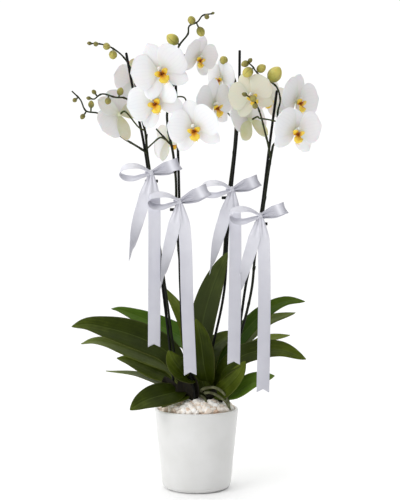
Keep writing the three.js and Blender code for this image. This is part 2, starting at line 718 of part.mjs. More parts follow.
function spike({ crown: crownKey, stem, branches, buds, stalks }) {
  const stemPath = stem.map(vec);
  const stemLine = cornersOf(stemPath, SPIKE_STEPS);
  const branchPaths = branches.map(([start, ...rest]) => [
    nearestOn([stemLine], vec(start)), ...rest.map(vec)]);
  const lines = [stemLine, ...branchPaths.map((path) => cornersOf(path, BRANCH_STEPS))];
  const bloomStalks = Object.entries(stalks).map(([name, path]) => {
    const { end, before } = bloomStalk(name);
    const start = nearestOn(lines, vec(path[0]));
    return rod([start, ...path.slice(1).map(vec), before, end], PEDICEL_RADIUS, PEDICEL_RADIUS, 4, 5);
  });
  const whole = joined([
    rod(stemPath, SPIKE_RADIUS, SPIKE_RADIUS * 0.9, 5, SPIKE_STEPS),
    ...branchPaths.map((path) => rod(path, BRANCH_RADIUS, TWIG_RADIUS, 4, BRANCH_STEPS)),
    ...buds.flatMap((one) => bud(one, lines)),
    ...bloomStalks,
  ]);
  return pierced(whole, [crownStem(crownKey, GAP)]);
}

// ---- Bows ---------------------------------------------------------------------------
// A bow is made with the middle of its tied bundle at the origin. Every path is followed by a
// ribbon whose width lies along across at its start and tipAcross at its end.

// height is that of the knot, drop and toward the fall and forward lean of the long tail.
const BOWS = {
  bow_a: {
    stake: 'a', height: 516, round: -45, drop: 280, toward: 0, drift: 7, shortDrop: 144, shortToward: 3,
  },
  bow_b: {
    stake: 'b', height: 469, round: 180, drop: 278, toward: 30, drift: 21, shortDrop: 140, shortToward: 0,
  },
  bow_c: {
    stake: 'c', height: 490, round: 90, drop: 281, toward: 70, drift: 3, shortDrop: 142, shortToward: 26,
  },
  bow_d: {
    stake: 'd', height: 446, round: -45, drop: 279, toward: 62, drift: -1, shortDrop: 142, shortToward: 2,
  },
};

function ribbon({ path, across, tipAcross = across, width, tipWidth = width, notch = 0, steps, cells = 1 }) {
  const curve = new THREE.CatmullRomCurve3(path.map(vec), false, 'centripetal');
  const surface = (u, v) => {
    const reach = u * (1 - notch * (1 - Math.abs(v)) * u ** 12);
    const along = curve.getTangentAt(reach);
    const wide = vec(across).normalize().lerp(vec(tipAcross).normalize(), u);
    wide.addScaledVector(along, -wide.dot(along)).normalize();
    const half = THREE.MathUtils.lerp(width, tipWidth, Math.min(1, u * 3)) / 2;
    return curve.getPointAt(reach).addScaledVector(wide, half * v);
  };
  return sheet(surface, steps, cells, RIBBON_THICKNESS);
}

function bow({ stake: key, height, round, drop, toward, drift, shortDrop, shortToward }) {
  const bundle = (BESIDE + SPIKE_RADIUS + STAKE_RADIUS) / 2 + 2 * GAP;
  const bore = bundle / Math.cos(Math.PI / 8);
  const outline = new THREE.Shape().absarc(0, 0, bore + 1, 0, 2 * Math.PI);
  outline.holes.push(new THREE.Path().absarc(0, 0, bore, 0, 2 * Math.PI));
  const band = new THREE.ExtrudeGeometry(outline, { depth: 9, bevelEnabled: false, curveSegments: 4 });
  band.translate(0, 0, -4.5);
  const front = -KNOT_FRONT;
  const knot = turned([[0, -5], [4.4, -3], [4.4, 3], [0, 5]], 6).scale(1, 0.8, 1).translate(0, front, 0);
  const leftLoop = ribbon({
    path: [[-2, front - 1, 1], [-16, front - 3, 8], [-33, front - 4, 12], [-47, front - 4, 8],
      [-51, front - 4, -1], [-44, front - 4, -9], [-30, front - 3, -11], [-14, front - 1, -6],
      [-2, front, -2]],
    across: [0, 0.92, 0.4], width: 5, tipWidth: 16, steps: 9,
  });
  const rightLoop = ribbon({
    path: [[2, front - 1, 0.5], [15, front - 6, 6], [30, front - 11, 13], [42, front - 13, 18],
      [45.5, front - 10, 19], [41, front - 7, 17], [28, front - 3, 11], [12, front + 0.5, 4],
      [2, front + 0.5, 1]],
    across: [-0.47, 0, 0.88], width: 6, tipWidth: RIBBON_WIDTH, steps: 8,
  });
  const longTail = ribbon({
    path: [[1.5, front - 1, -3], [4, front - 2, -40], [drift, front - 2 - toward * 0.5, -drop * 0.5],
      [drift, front - 2 - toward, -drop]],
    across: [1, 0, 0], width: 5, tipWidth: RIBBON_WIDTH, notch: 0.03, steps: 4, cells: 2,
  });
  const shortTail = ribbon({
    path: [[-1.5, front + 0.5, -3], [-9, front - 3, -40], [-20, front - 4 - shortToward / 2, -90],
      [-29, front - shortToward, -shortDrop]],
    across: [1, -0.2, -0.2], tipAcross: [0.25, 1, 0], width: 5, tipWidth: RIBBON_WIDTH, notch: 0.05,
    steps: 4, cells: 2,
  });
  const place = onStake(key, height, round, BESIDE / 2);
  return joined([faceOut(band), knot, leftLoop, rightLoop, longTail, shortTail])
    .translate(place.x, place.y, place.z);
}

// ---- Pot, liner, bark and stones ----------------------------------------------------

function pot() {
  const inner = POT_TOP_RADIUS - POT_WALL;
  const corner = [30, 60, 90].map((degrees) => [
    THREE.MathUtils.lerp(POT_BASE_RADIUS, POT_SHOULDER_RADIUS, Math.sin(turn(degrees))),
    POT_CORNER * (1 - Math.cos(turn(degrees))),
  ]);
  const profile = [
    [0, 0], [POT_BASE_RADIUS, 0],
    ...corner,
    [POT_TOP_RADIUS, POT_HEIGHT - POT_LIP / 2],
    [POT_TOP_RADIUS - POT_WALL * 0.2, POT_HEIGHT - POT_LIP * 0.1],
    [POT_TOP_RADIUS - POT_WALL / 2, POT_HEIGHT],
    [inner + POT_WALL * 0.1, POT_HEIGHT - POT_LIP * 0.3],
    [inner, POT_HEIGHT - POT_LIP],
    [POT_SHOULDER_RADIUS - POT_WALL, POT_FLOOR + POT_CORNER],
    [POT_BASE_RADIUS, POT_FLOOR],
    [0, POT_FLOOR],
  ];
  return turned(profile, 28);
}

function liner() {
  const floor = POT_FLOOR + GAP;
  const rim = LINER_TOP_RADIUS + LINER_RIM;
  const profile = [
    [0, floor], [LINER_BASE_RADIUS, floor], [LINER_TOP_RADIUS, LINER_TOP - 2],
    [rim, LINER_TOP - 2], [rim, LINER_TOP],
    [LINER_TOP_RADIUS - LINER_WALL, LINER_TOP], [LINER_BASE_RADIUS - LINER_WALL, floor + LINER_WALL],
    [0, floor + LINER_WALL],
  ];
  const drains = [45, 135, 225, 315].map((degrees) => {
    const hole = new THREE.CylinderGeometry(LINER_DRAIN_RADIUS, LINER_DRAIN_RADIUS, 10, 6);
    hole.rotateX(Math.PI / 2).translate(LINER_DRAIN_AWAY, 0, floor);
    return hole.rotateZ(turn(degrees));
  });
  return pierced(turned(profile, 24), drains);
}

// What stands in the bark and the stones, a little larger all round.
function standing() {
  const clear = 0.5; // a little more than GAP, because facets cut the corners of round pieces
  return [
    ...Object.keys(STAKES).map((key) => shaft(key, STAKE_RADIUS + clear)),
    ...Object.keys(CROWNS).map((key) => crownStem(key, clear)),
  ];
}

function bark() {
  const floor = POT_FLOOR + GAP + LINER_WALL + GAP;
  const gap = LINER_WALL + 2 * GAP;
  const profile = [[0, floor], [LINER_BASE_RADIUS - gap, floor], [LINER_TOP_RADIUS - gap, BARK_TOP],
    [0, BARK_TOP]];
  return pierced(turned(profile, 20), standing());
}

const moundHeight = (radius) => MOUND_EDGE + (MOUND_TOP - MOUND_EDGE) * (1 - (radius / POT_TOP_RADIUS) ** 2);

function seededRandom(seed) {
  let state = seed;
  return () => {
    state = (Math.imul(state, 1664525) + 1013904223) >>> 0;
    return state / 4294967296;
  };
}

// One bed of stone chips: a mound with chips set half into it in a spiral.
function pebbles() {
  const random = seededRandom(PEBBLE_SEED);
  const floor = LINER_TOP + GAP;
  const wall = POT_TOP_RADIUS - POT_WALL - 1.4;
  const mound = turned([[0, floor], [wall - 1, floor], [wall, moundHeight(wall) - 1],
    [wall * 0.55, moundHeight(wall * 0.55)], [0, MOUND_TOP]], 16);
  const chips = [];
  for (let k = 0; k < PEBBLE_COUNT; k += 1) {
    const radius = (wall - PEBBLE_SIZE) * Math.sqrt((k + 0.5) / PEBBLE_COUNT);
    const angle = k * 2.39996;
    const size = PEBBLE_SIZE * (0.8 + 0.4 * random());
    const chip = new THREE.BoxGeometry(size * (1.1 + 0.5 * random()), size * (0.9 + 0.4 * random()), size);
    chip.rotateX(random() * 6).rotateY(random() * 6).rotateZ(random() * 6);
    chips.push(chip.translate(radius * Math.cos(angle), radius * Math.sin(angle), moundHeight(radius) - 1.5));
  }
  return pierced(joined([mound, ...chips]), standing());
}

// ---- The plant in its pot -----------------------------------------------------------

add('pot', 'pot', pot());
add('grow_pot', 'liner', liner());
add('potting_bark', 'bark', bark());
add('pebbles', 'pebbles', pebbles());
for (const key of Object.keys(STAKES)) {
  add(`stake_${key}`, 'stake', stake(key));
  add(`spike_${key}`, 'spike', spike(SPIKES[key]));
}
for (const [name, spec] of Object.entries(BOWS)) {
  add(name, 'bow', bow(spec));
}
for (const key of Object.keys(CROWNS)) {
  add(`crown_${key}`, 'crown', crown(key));
}
for (const [name, spec] of Object.entries(LEAVES)) {
  add(name, 'leaf', leaf(spec));
}
for (const [name, spec] of Object.entries(BLOOMS)) {
  add(name, 'bloom', bloom(spec).applyMatrix4(bloomPlace(spec)));
  add(name.replace('bloom', 'lip'), 'lip', lip().applyMatrix4(bloomPlace(spec)));
}

export default group;
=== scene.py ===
# A potted orchid: two white moth orchids in one glazed cover pot, with four flower spikes, each
# clipped to a stake and tied with a satin bow. Tables are in millimetres, in the frame's own axes:
# +Z up, +X to the viewer's right, +Y away, the origin in the middle of the pot's foot.
import bisect
import math
import random
from functools import partial

import bmesh
import bpy
from mathutils import Euler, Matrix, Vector


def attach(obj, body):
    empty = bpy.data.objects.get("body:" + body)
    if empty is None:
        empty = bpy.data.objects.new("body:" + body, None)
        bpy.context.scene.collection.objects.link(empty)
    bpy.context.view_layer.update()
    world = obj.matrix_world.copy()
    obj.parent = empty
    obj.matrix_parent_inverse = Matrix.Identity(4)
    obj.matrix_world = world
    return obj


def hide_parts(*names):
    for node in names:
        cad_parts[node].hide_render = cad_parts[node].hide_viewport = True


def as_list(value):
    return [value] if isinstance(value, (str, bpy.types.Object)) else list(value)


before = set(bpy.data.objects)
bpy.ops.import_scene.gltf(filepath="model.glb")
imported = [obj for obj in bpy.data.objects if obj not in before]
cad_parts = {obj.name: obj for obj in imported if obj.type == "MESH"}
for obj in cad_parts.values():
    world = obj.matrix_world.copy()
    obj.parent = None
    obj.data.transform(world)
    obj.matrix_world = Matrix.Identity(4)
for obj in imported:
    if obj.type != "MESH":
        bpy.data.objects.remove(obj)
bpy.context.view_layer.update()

# ---- Cover pot ----------------------------------------------------------------------------
# A round, tapered cover pot of white earthenware, jiggered to shape and dipped in a satin white
# glaze inside and out. It stands loose on its flat foot and carries all the rest.

MM = 0.001
POT_HEIGHT = 130
POT_TOP = 69  # outer radius at the rim
POT_SHOULDER = 57  # outer radius above the rounded bottom corner
POT_FOOT = 47
POT_CORNER = 11
POT_WALL = 5
POT_FLOOR = 8
POT_HOLLOW = 1.2  # of the foot's underside


class Shape:
    """Points in millimetres, faces between them, and the marks that the finish reads there."""

    def __init__(self):
        self.points, self.faces, self.marks = [], [], {}

    def add(self, points, faces, **marks):
        first = len(self.points)
        self.points += points
        self.faces += [[first + k for k in face] for face in faces]
        for name in set(marks) | set(self.marks):
            held = self.marks.setdefault(name, [0.0] * first)
            value = marks.get(name, 0.0)
            held += value if isinstance(value, list) else [value] * len(points)
        return self


def linear(code):
    """An sRGB hex colour as the linear one that Blender's sockets hold."""
    parts = [int(code[k:k + 2], 16) / 255 for k in (0, 2, 4)]
    return [*(p / 12.92 if p <= 0.04045 else ((p + 0.055) / 1.055) ** 2.4 for p in parts), 1.0]


def put(finish, kind, *inputs, out=None, stops=(), **named):
    """Adds a node to a finish, or takes one that it has, and gives the output to read on.
    Its inputs are filled in their order or by a name with a capital. Words in small letters
    are the node's own settings."""
    tree = finish.node_tree
    node = tree.nodes.new("ShaderNode" + kind) if isinstance(kind, str) else kind
    for name in filter(str.islower, named):
        setattr(node, name, named[name])
    for k, (place, colour) in enumerate(stops):
        stop = node.color_ramp.elements[k] if k < 2 else node.color_ramp.elements.new(place)
        stop.position, stop.color = place, linear(colour)
    filled = [*zip([socket for socket in node.inputs if socket.enabled], inputs)]
    filled += [(node.inputs[name.replace("_", " ")], value)
               for name, value in named.items() if not name.islower()]
    for socket, value in filled:
        if isinstance(value, bpy.types.NodeSocket):
            tree.links.new(value, socket)
        else:
            socket.default_value = linear(value) if isinstance(value, str) else value
    return node.outputs[out] if out else next(each for each in node.outputs if each.enabled)


def finish_named(name, **even):
    """A new finish, what adds nodes to it, its shader with the values that are even all over
    it, and the output that gives the place on the piece."""
    finish = bpy.data.materials.new(name)
    finish.use_nodes = True
    add, shader = partial(put, finish), finish.node_tree.nodes["Principled BSDF"]
    add(shader, **even)
    return finish, add, shader, add("TexCoord", out="Object")


def piece(name, shape, finish, slot, *nodes, crease=None):
    """Makes a piece of a shape, hangs it on the root body, and hides the CAD parts that it stands
    for.
    """
    mesh = bpy.data.meshes.new(name)
    mesh.from_pydata([point * MM for point in shape.points], [], shape.faces)
    work = bmesh.new()
    work.from_mesh(mesh)
    bmesh.ops.recalc_face_normals(work, faces=work.faces)
    work.to_mesh(mesh)
    work.free()
    for key, values in shape.marks.items():
        mesh.attributes.new(key, "FLOAT", "POINT").data.foreach_set("value", values)
    mesh.polygons.foreach_set("use_smooth", [True] * len(mesh.polygons))
    if crease:
        mesh.set_sharp_from_angle(angle=math.radians(crease))
    mesh.materials.append(finish)
    made = bpy.data.objects.new(name, mesh)
    bpy.context.collection.objects.link(made)
    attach(made, "root")
    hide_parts(*nodes)
    return made


def spun(profile, sides):
    """Points and faces of a body turned on +Z through [radius, height] points."""
    points, faces, rows = [], [], []
    for radius, height in profile:
        if radius < 1e-6:
            rows.append([len(points)] * sides)
            points.append(Vector((0, 0, height)))
            continue
        rows.append([len(points) + k for k in range(sides)])
        for k in range(sides):
            angle = 2 * math.pi * k / sides
            points.append(Vector((radius * math.cos(angle), radius * math.sin(angle), height)))
    for low, high in zip(rows, rows[1:]):
        for k in range(sides):
            ring = (low[k], low[(k + 1) % sides], high[(k + 1) % sides], high[k])
            faces.append(list(dict.fromkeys(ring)))
    return points, faces


def quarter(middle, reach, start, end, steps=8):
    """Points of an arc round [radius, height], from one angle in degrees to another."""
    turns = [math.radians(start + (end - start) * k / steps) for k in range(steps + 1)]
    return [(middle[0] + reach[0] * math.cos(turn), middle[1] + reach[1] * math.sin(turn))
            for turn in turns]


rim = POT_WALL / 2
side_run, side_rise = POT_TOP - POT_SHOULDER, POT_HEIGHT - rim - POT_CORNER
corner_reach = (POT_SHOULDER - POT_FOOT, POT_CORNER)
pot_profile = [
    (0, POT_HOLLOW), (POT_FOOT - 6, POT_HOLLOW), (POT_FOOT - 5, 0), (POT_FOOT, 0),
    *quarter((POT_FOOT, POT_CORNER), corner_reach, -84, 0),
    *[(POT_SHOULDER + side_run * k / 6, POT_CORNER + side_rise * k / 6) for k in range(1, 6)],
    *quarter((POT_TOP - rim, POT_HEIGHT - rim), (rim, rim), 0, 180, 12),
    (POT_SHOULDER - POT_WALL, POT_FLOOR + POT_CORNER),
    *quarter((POT_FOOT - POT_WALL, POT_FLOOR + POT_CORNER), corner_reach, 0, -90)[1:],
    (0, POT_FLOOR),
]

# Satin glaze: soft broad highlights, a faintly uneven white, and a skin that is not quite flat.
# Here and below, a pattern's scale is its repeats in a metre, with its size in millimetres beside.
glaze, add, shader, spot = finish_named("satin_glaze_on_earthenware", IOR=1.52, Coat_Weight=0.3,
                                        Coat_Roughness=0.22)
clouds = add("TexNoise", spot, Scale=22, Detail=3)  # 45 mm
white = add("ValToRGB", clouds, stops=[(0.3, "dcdcda"), (0.7, "e4e4e3")])
# The glaze is worn a little duller in patches.
patches = add("TexNoise", spot, Scale=80, Detail=2)  # 12 mm
dull = add("MapRange", patches, 0.3, 0.7, 0.3, 0.38)
# The glaze's fine orange peel.
peel = add("TexNoise", spot, Scale=330, Detail=1)  # 3 mm
skin = add("Bump", Height=peel, Strength=0.12, Distance=0.0002)
add(shader, Base_Color=white, Roughness=dull, Normal=skin)

piece("cover_pot", Shape().add(*spun(pot_profile, 144)), glaze, "pot_glaze", "pot")

# ---- Grow pot -----------------------------------------------------------------------------
# The thin clear pot that the plants were grown in, thermoformed in polypropylene, with drain
# holes in its floor. It stands loose on the cover pot's floor and is hidden by the stones.

clear_plastic, add, shader, spot = finish_named("thermoformed_polypropylene", Base_Color="d8dcd8",
                                                IOR=1.49, Transmission_Weight=0.6)
haze = add("TexNoise", spot, Scale=60, Detail=3)  # 17 mm
milky = add("MapRange", haze, 0, 1, 0.15, 0.35)
add(shader, Roughness=milky)
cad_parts["grow_pot"].material_slots[0].material = clear_plastic

# ---- Potting bark -------------------------------------------------------------------------
# Chipped fir bark, 10 to 15 mm, poured loose round the roots. It fills the grow pot to its rim
# and what stands in it holds up the crowns and the stakes.

fir_bark, add, shader, spot = finish_named("chipped_fir_bark", IOR=1.45)
chips = add("TexVoronoi", spot, Scale=85)  # 12 mm
brown = add("ValToRGB", chips.node.outputs["Color"], stops=[(0.2, "2c1c12"), (0.8, "6a4a30")])
fibre = add("TexNoise", spot, Scale=700, Detail=4)  # 1.4 mm
rough = add("MapRange", fibre, 0, 1, 0.8, 1)
relief = add("Bump", Height=chips, Strength=0.8, Distance=0.003)
add(shader, Base_Color=brown, Roughness=rough, Normal=relief)
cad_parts["potting_bark"].material_slots[0].material = fir_bark

# ---- Stone chips --------------------------------------------------------------------------
# Washed cream and white stone, crushed to 9 to 14 mm, laid by hand over the bark as a top
# dressing. It lies a little heaped, from just under the rim at the wall to above it in the middle.

MOUND_EDGE, MOUND_TOP = 126, 145
BED_FLOOR = 118.3
BED_WALL = 62.4
CHIP_COUNT = 340
CHIP_SIZE = (9.5, 14.0)
CHIP_SIDES = 9
CHIP_CLEAR = 5  # from the middles of the outermost chips to the wall
CHIP_SINK, CHIP_TOSS = 1.2, 1.8  # how far their middles lie under the mound, and to either side
BED_SINK = 4  # how far the bed under the chips lies below their middles
GOLDEN_TURN = 2.39996


def mound(radius):
    """The height of the heaped chips at a distance from the middle."""
    return MOUND_EDGE + (MOUND_TOP - MOUND_EDGE) * (1 - (radius / POT_TOP) ** 2)


ball = bmesh.new()
bmesh.ops.create_icosphere(ball, subdivisions=3, radius=1)
ball_points = [vertex.co.copy() for vertex in ball.verts]
ball_faces = [[vertex.index for vertex in face.verts] for face in ball.faces]
ball.free()


def chipped(place, size, dice):
    """The points of a pebble-sized ball knocked flat on some sides."""
    draw = dice.uniform
    knocks = [(Vector([dice.gauss(0, 1) for _ in range(3)]).normalized(), draw(0.55, 0.92))
              for _ in range(CHIP_SIDES)]
    lie = Euler((draw(-0.5, 0.5), draw(-0.5, 0.5), draw(0, 6.3)))
    stretch = Vector((draw(0.5, 0.6), draw(0.46, 0.54), draw(0.42, 0.5))) * size
    points = []
    for way in ball_points:
        corner = way * min([1.0] + [depth / way.dot(side) for side, depth in knocks
                                    if way.dot(side) > 0.1])
        corner = Vector([c * s for c, s in zip(corner, stretch)])
        corner.rotate(lie)
        points.append(place + corner)
    return points


# Crushed stone: matt, with a fine grain, each chip its own cream, white or tan.
stone, add, shader, spot = finish_named("crushed_quartzite", IOR=1.54)
tint = add("Attribute", attribute_name="tint", out="Fac")
cream = add(
    "ValToRGB", tint,
    stops=[(0, "dcbfa8"), (0.12, "f1dfce"), (0.35, "faf0e4"), (0.65, "fdf8f1"), (1, "fefdfb")])
grain = add("TexNoise", spot, Scale=900, Detail=4)  # 1.1 mm
veined = add("TexNoise", spot, Scale=160, Detail=3)  # 6.2 mm
soil = add("MapRange", veined, 0.55, 0.8, 0, 0.2)
stained = add("Mix", soil, cream, "e6c9b1", data_type="RGBA")
rough = add("MapRange", grain, 0, 1, 0.7, 0.95)
pits = add("Bump", Height=grain, Strength=0.5, Distance=0.0004)
add(shader, Base_Color=stained, Roughness=rough, Normal=pits)

steps = [BED_WALL * k / 8 for k in range(8, 0, -1)]
bed_profile = [(0, BED_FLOOR), (BED_WALL - 1, BED_FLOOR),
               *[(away, mound(away) - BED_SINK) for away in steps], (0, MOUND_TOP - BED_SINK)]
bed = Shape().add(*spun(bed_profile, 64), tint=0.2)
piece("stone_bed", bed, stone, "stone_chips", "pebbles")

chips = Shape()
dice = random.Random(7)
for k in range(CHIP_COUNT):
    size = dice.uniform(*CHIP_SIZE)
    away = (BED_WALL - CHIP_CLEAR) * math.sqrt((k + 0.5) / CHIP_COUNT)
    angle = k * GOLDEN_TURN + dice.uniform(-0.06, 0.06)
    height = mound(away) - CHIP_SINK + dice.uniform(-CHIP_TOSS, CHIP_TOSS)
    place = Vector((away * math.cos(angle), away * math.sin(angle), height))
    chips.add(chipped(place, size, dice), ball_faces, tint=dice.random() ** 0.8)
piece("stone_chips", chips, stone, "stone_chips", "pebbles", crease=28)

# ---- Stakes and clips ---------------------------------------------------------------------
# Four plant stakes of steel wire with a dark green plastic skin, pushed down through the bark
# and bent by hand to follow the flower spikes. Each has a spring clip round its spike.

STAKES = {
    "a": [(-33, -8, 30), (-36, -9, 148), (-44, -8, 233), (-55, -7, 324), (-67, -7, 420),
          (-79, -10, 516), (-88, -12, 574), (-98, -11, 620), (-106, -11, 664), (-115, -12, 712)],
    "b": [(4, -26, 30), (-2, -26, 148), (-20, -18, 232), (-26, -14, 318), (-28, -16, 400),
          (-28, -20, 469), (-30, -23, 551), (-32, -23, 613), (-34, -22, 668)],
    "c": [(-2, 40, 30), (6, 40, 148), (30, 32, 240), (46, 20, 320), (52, 12, 420),
          (58, 10, 490), (67, 12, 580), (71, 15, 656), (72, 17, 722)],
    "d": [(38, 4, 30), (52, 1, 148), (73, -2, 275), (81, -4, 331), (93, -6, 390),
          (105, -8, 446), (119, -8, 554), (125, -8, 600), (132, -8, 651)],
}
STAKE_RADIUS = 2.2
SPIKE_RADIUS = 2.3
BESIDE = 4.8  # from the middle of a stake to the middle of the spike tied to it
# The clips' heights, and where round the stake the spike stands.
CLIPS = {"a": (503, -45), "b": (456, 180), "c": (477, 150), "d": (433, -45)}
CLIP_BORE, CLIP_WALL, CLIP_HEIGHT = 2.7, 1.3, 5
CLIP_EDGE = 0.5  # how far its edges are rounded
TAB_LENGTH, TAB_THICKNESS = 8, 1.6
CURVE_STEPS = 24  # between two points of a path
CAP_TURNS = (8, 40, 68)  # of the rings that round off a rod's end
CAP_BULGE = 0.7  # how far they stand out, as a share of the rod's radius


def bent(corners):
    """The even, smooth line through some points, as a function of the way along it, 0 to 1."""
    through = [Vector(corner) for corner in corners]
    through = [through[0] * 2 - through[1], *through, through[-1] * 2 - through[-2]]
    line = [through[1]]
    for a, b, c, d in zip(through, through[1:], through[2:], through[3:]):
        before, during, after = ((q - p).length ** 0.5 for p, q in ((a, b), (b, c), (c, d)))
        leave = ((b - a) / before - (c - a) / (before + during) + (c - b) / during) * during
        arrive = ((c - b) / during - (d - b) / (during + after) + (d - c) / after) * during
        for k in range(1, CURVE_STEPS + 1):
            t = k / CURVE_STEPS
            line.append(b + leave * t + (3 * (c - b) - 2 * leave - arrive) * t ** 2
                        + (2 * (b - c) + leave + arrive) * t ** 3)
    reach = [0.0]
    for a, b in zip(line, line[1:]):
        reach.append(reach[-1] + (b - a).length)

    def at(u):
        goal = min(max(u, 0.0), 1.0) * reach[-1]
        k = min(max(bisect.bisect_right(reach, goal), 1), len(line) - 1)
        return line[k - 1].lerp(line[k], (goal - reach[k - 1]) / (reach[k] - reach[k - 1]))

    at.length = reach[-1]
    at.line = line
    return at


def way_of(at, u):
    """Which way a line runs at a place along it."""
    return (at(min(u + 0.004, 1)) - at(max(u - 0.004, 0))).normalized()


def sleeve(rings, sides):
    """The faces of a tube of rings of points, closed at both ends."""
    pairs = [(i * sides + j, i * sides + (j + 1) % sides)
             for i in range(rings - 1) for j in range(sides)]
    return [*[[a, b, b + sides, a + sides] for a, b in pairs],
            [*range(sides)][::-1], [*range((rings - 1) * sides, rings * sides)]]


def rod(shape, at, radius, sides=12, steps=40, **marks):
    """Adds a round rod along a line. radius is its size, or a function of the way along."""
    size = radius if callable(radius) else (lambda u: radius)
    start, end = way_of(at, 0), way_of(at, 1)
    caps = [(math.cos(math.radians(turn)), math.sin(math.radians(turn))) for turn in CAP_TURNS]
    rows = [(at(0) - start * size(0) * CAP_BULGE * out, start, size(0) * side)
            for out, side in caps]
    rows += [(at(k / steps), way_of(at, k / steps), size(k / steps)) for k in range(steps + 1)]
    rows += [(at(1) + end * size(1) * CAP_BULGE * out, end, size(1) * side)
             for out, side in caps[::-1]]
    normal = start.orthogonal().normalized()
    points = []
    for middle, way, reach in rows:
        normal = (normal - way * normal.dot(way)).normalized()
        other = way.cross(normal)
        for j in range(sides):
            angle = 2 * math.pi * j / sides
            points.append(middle + (normal * math.cos(angle) + other * math.sin(angle)) * reach)
    return shape.add(points, sleeve(len(rows), sides), **marks)


stake_lines = {key: bent(corners) for key, corners in STAKES.items()}


def on_stake(key, height, bearing, away=BESIDE):
    """A point beside the middle of a stake, at a height and an angle."""
    line = stake_lines[key].line
    upper = next(k for k, point in enumerate(line) if point.z >= height)
    low, high = line[upper - 1], line[upper]
    middle = low.lerp(high, (height - low.z) / (high.z - low.z))
    angle = math.radians(bearing)
    return middle + Vector((math.cos(angle), math.sin(angle), 0)) * away


def rounded_box(size, place, turn, soft):
    """Points and faces of a block with softened edges, turned on +Z."""
    work = bmesh.new()
    bmesh.ops.create_cube(work, size=1)
    for vertex in work.verts:
        vertex.co = Vector([c * s for c, s in zip(vertex.co, size)])
    bmesh.ops.bevel(work, geom=work.edges[:], offset=soft, segments=3, affect="EDGES", profile=0.5)
    points = []
    for vertex in work.verts:
        corner = vertex.co.copy()
        corner.rotate(Euler((0, 0, math.radians(turn))))
        points.append(corner + place)
    faces = [[vertex.index for vertex in face.verts] for face in work.faces]
    work.free()
    return points, faces


# Plastic-coated wire: almost black green, satin, with fine scratches along it.
coated_wire, add, shader, spot = finish_named("plastic_coated_steel_wire", IOR=1.5,
                                              Specular_IOR_Level=0.2)
stretch = add("Mapping", spot, Scale=(500, 500, 25))  # 2 x 40 mm
drawn = add("TexNoise", stretch, Scale=1, Detail=3)
green = add("ValToRGB", drawn, stops=[(0.3, "030402"), (0.75, "0c0f07")])
rough = add("MapRange", drawn, 0, 1, 0.42, 0.6)
lines = add("Bump", Height=drawn, Strength=0.3, Distance=0.0003)
add(shader, Base_Color=green, Roughness=rough, Normal=lines)

outer, half = CLIP_BORE + CLIP_WALL, CLIP_HEIGHT / 2
ring = [(CLIP_BORE, -half + CLIP_EDGE), (CLIP_BORE + CLIP_EDGE, -half), (outer - CLIP_EDGE, -half),
        (outer, -half + CLIP_EDGE), (outer, half - CLIP_EDGE), (outer - CLIP_EDGE, half),
        (CLIP_BORE + CLIP_EDGE, half), (CLIP_BORE, half - CLIP_EDGE)]
for key, line in stake_lines.items():
    node = f"stake_{key}"
    stake = rod(Shape(), line, STAKE_RADIUS, sides=14, steps=70)
    piece(f"{node}_wire", stake, coated_wire, "stake_green", node)

    middle = on_stake(key, *CLIPS[key])
    points, faces = spun([*ring, ring[0]], 28)
    clip = Shape().add([point + middle for point in points], faces)
    for turn in (20, 160):
        angle = math.radians(turn)
        reach = CLIP_BORE + (CLIP_WALL + TAB_LENGTH) / 2
        tab = middle + Vector((math.cos(angle), math.sin(angle), 0)) * reach
        size = (TAB_LENGTH, TAB_THICKNESS, CLIP_HEIGHT)
        clip.add(*rounded_box(size, tab, turn, CLIP_EDGE))
    piece(f"{node}_clip", clip, coated_wire, "stake_green", node, crease=50)

# ---- Leaves -------------------------------------------------------------------------------
# The grown leaves: thick, waxy, strap-shaped, folded along the middle rib and narrow where they
# clasp the crown. Those of the left plant reach to the left, those of the right to the right.

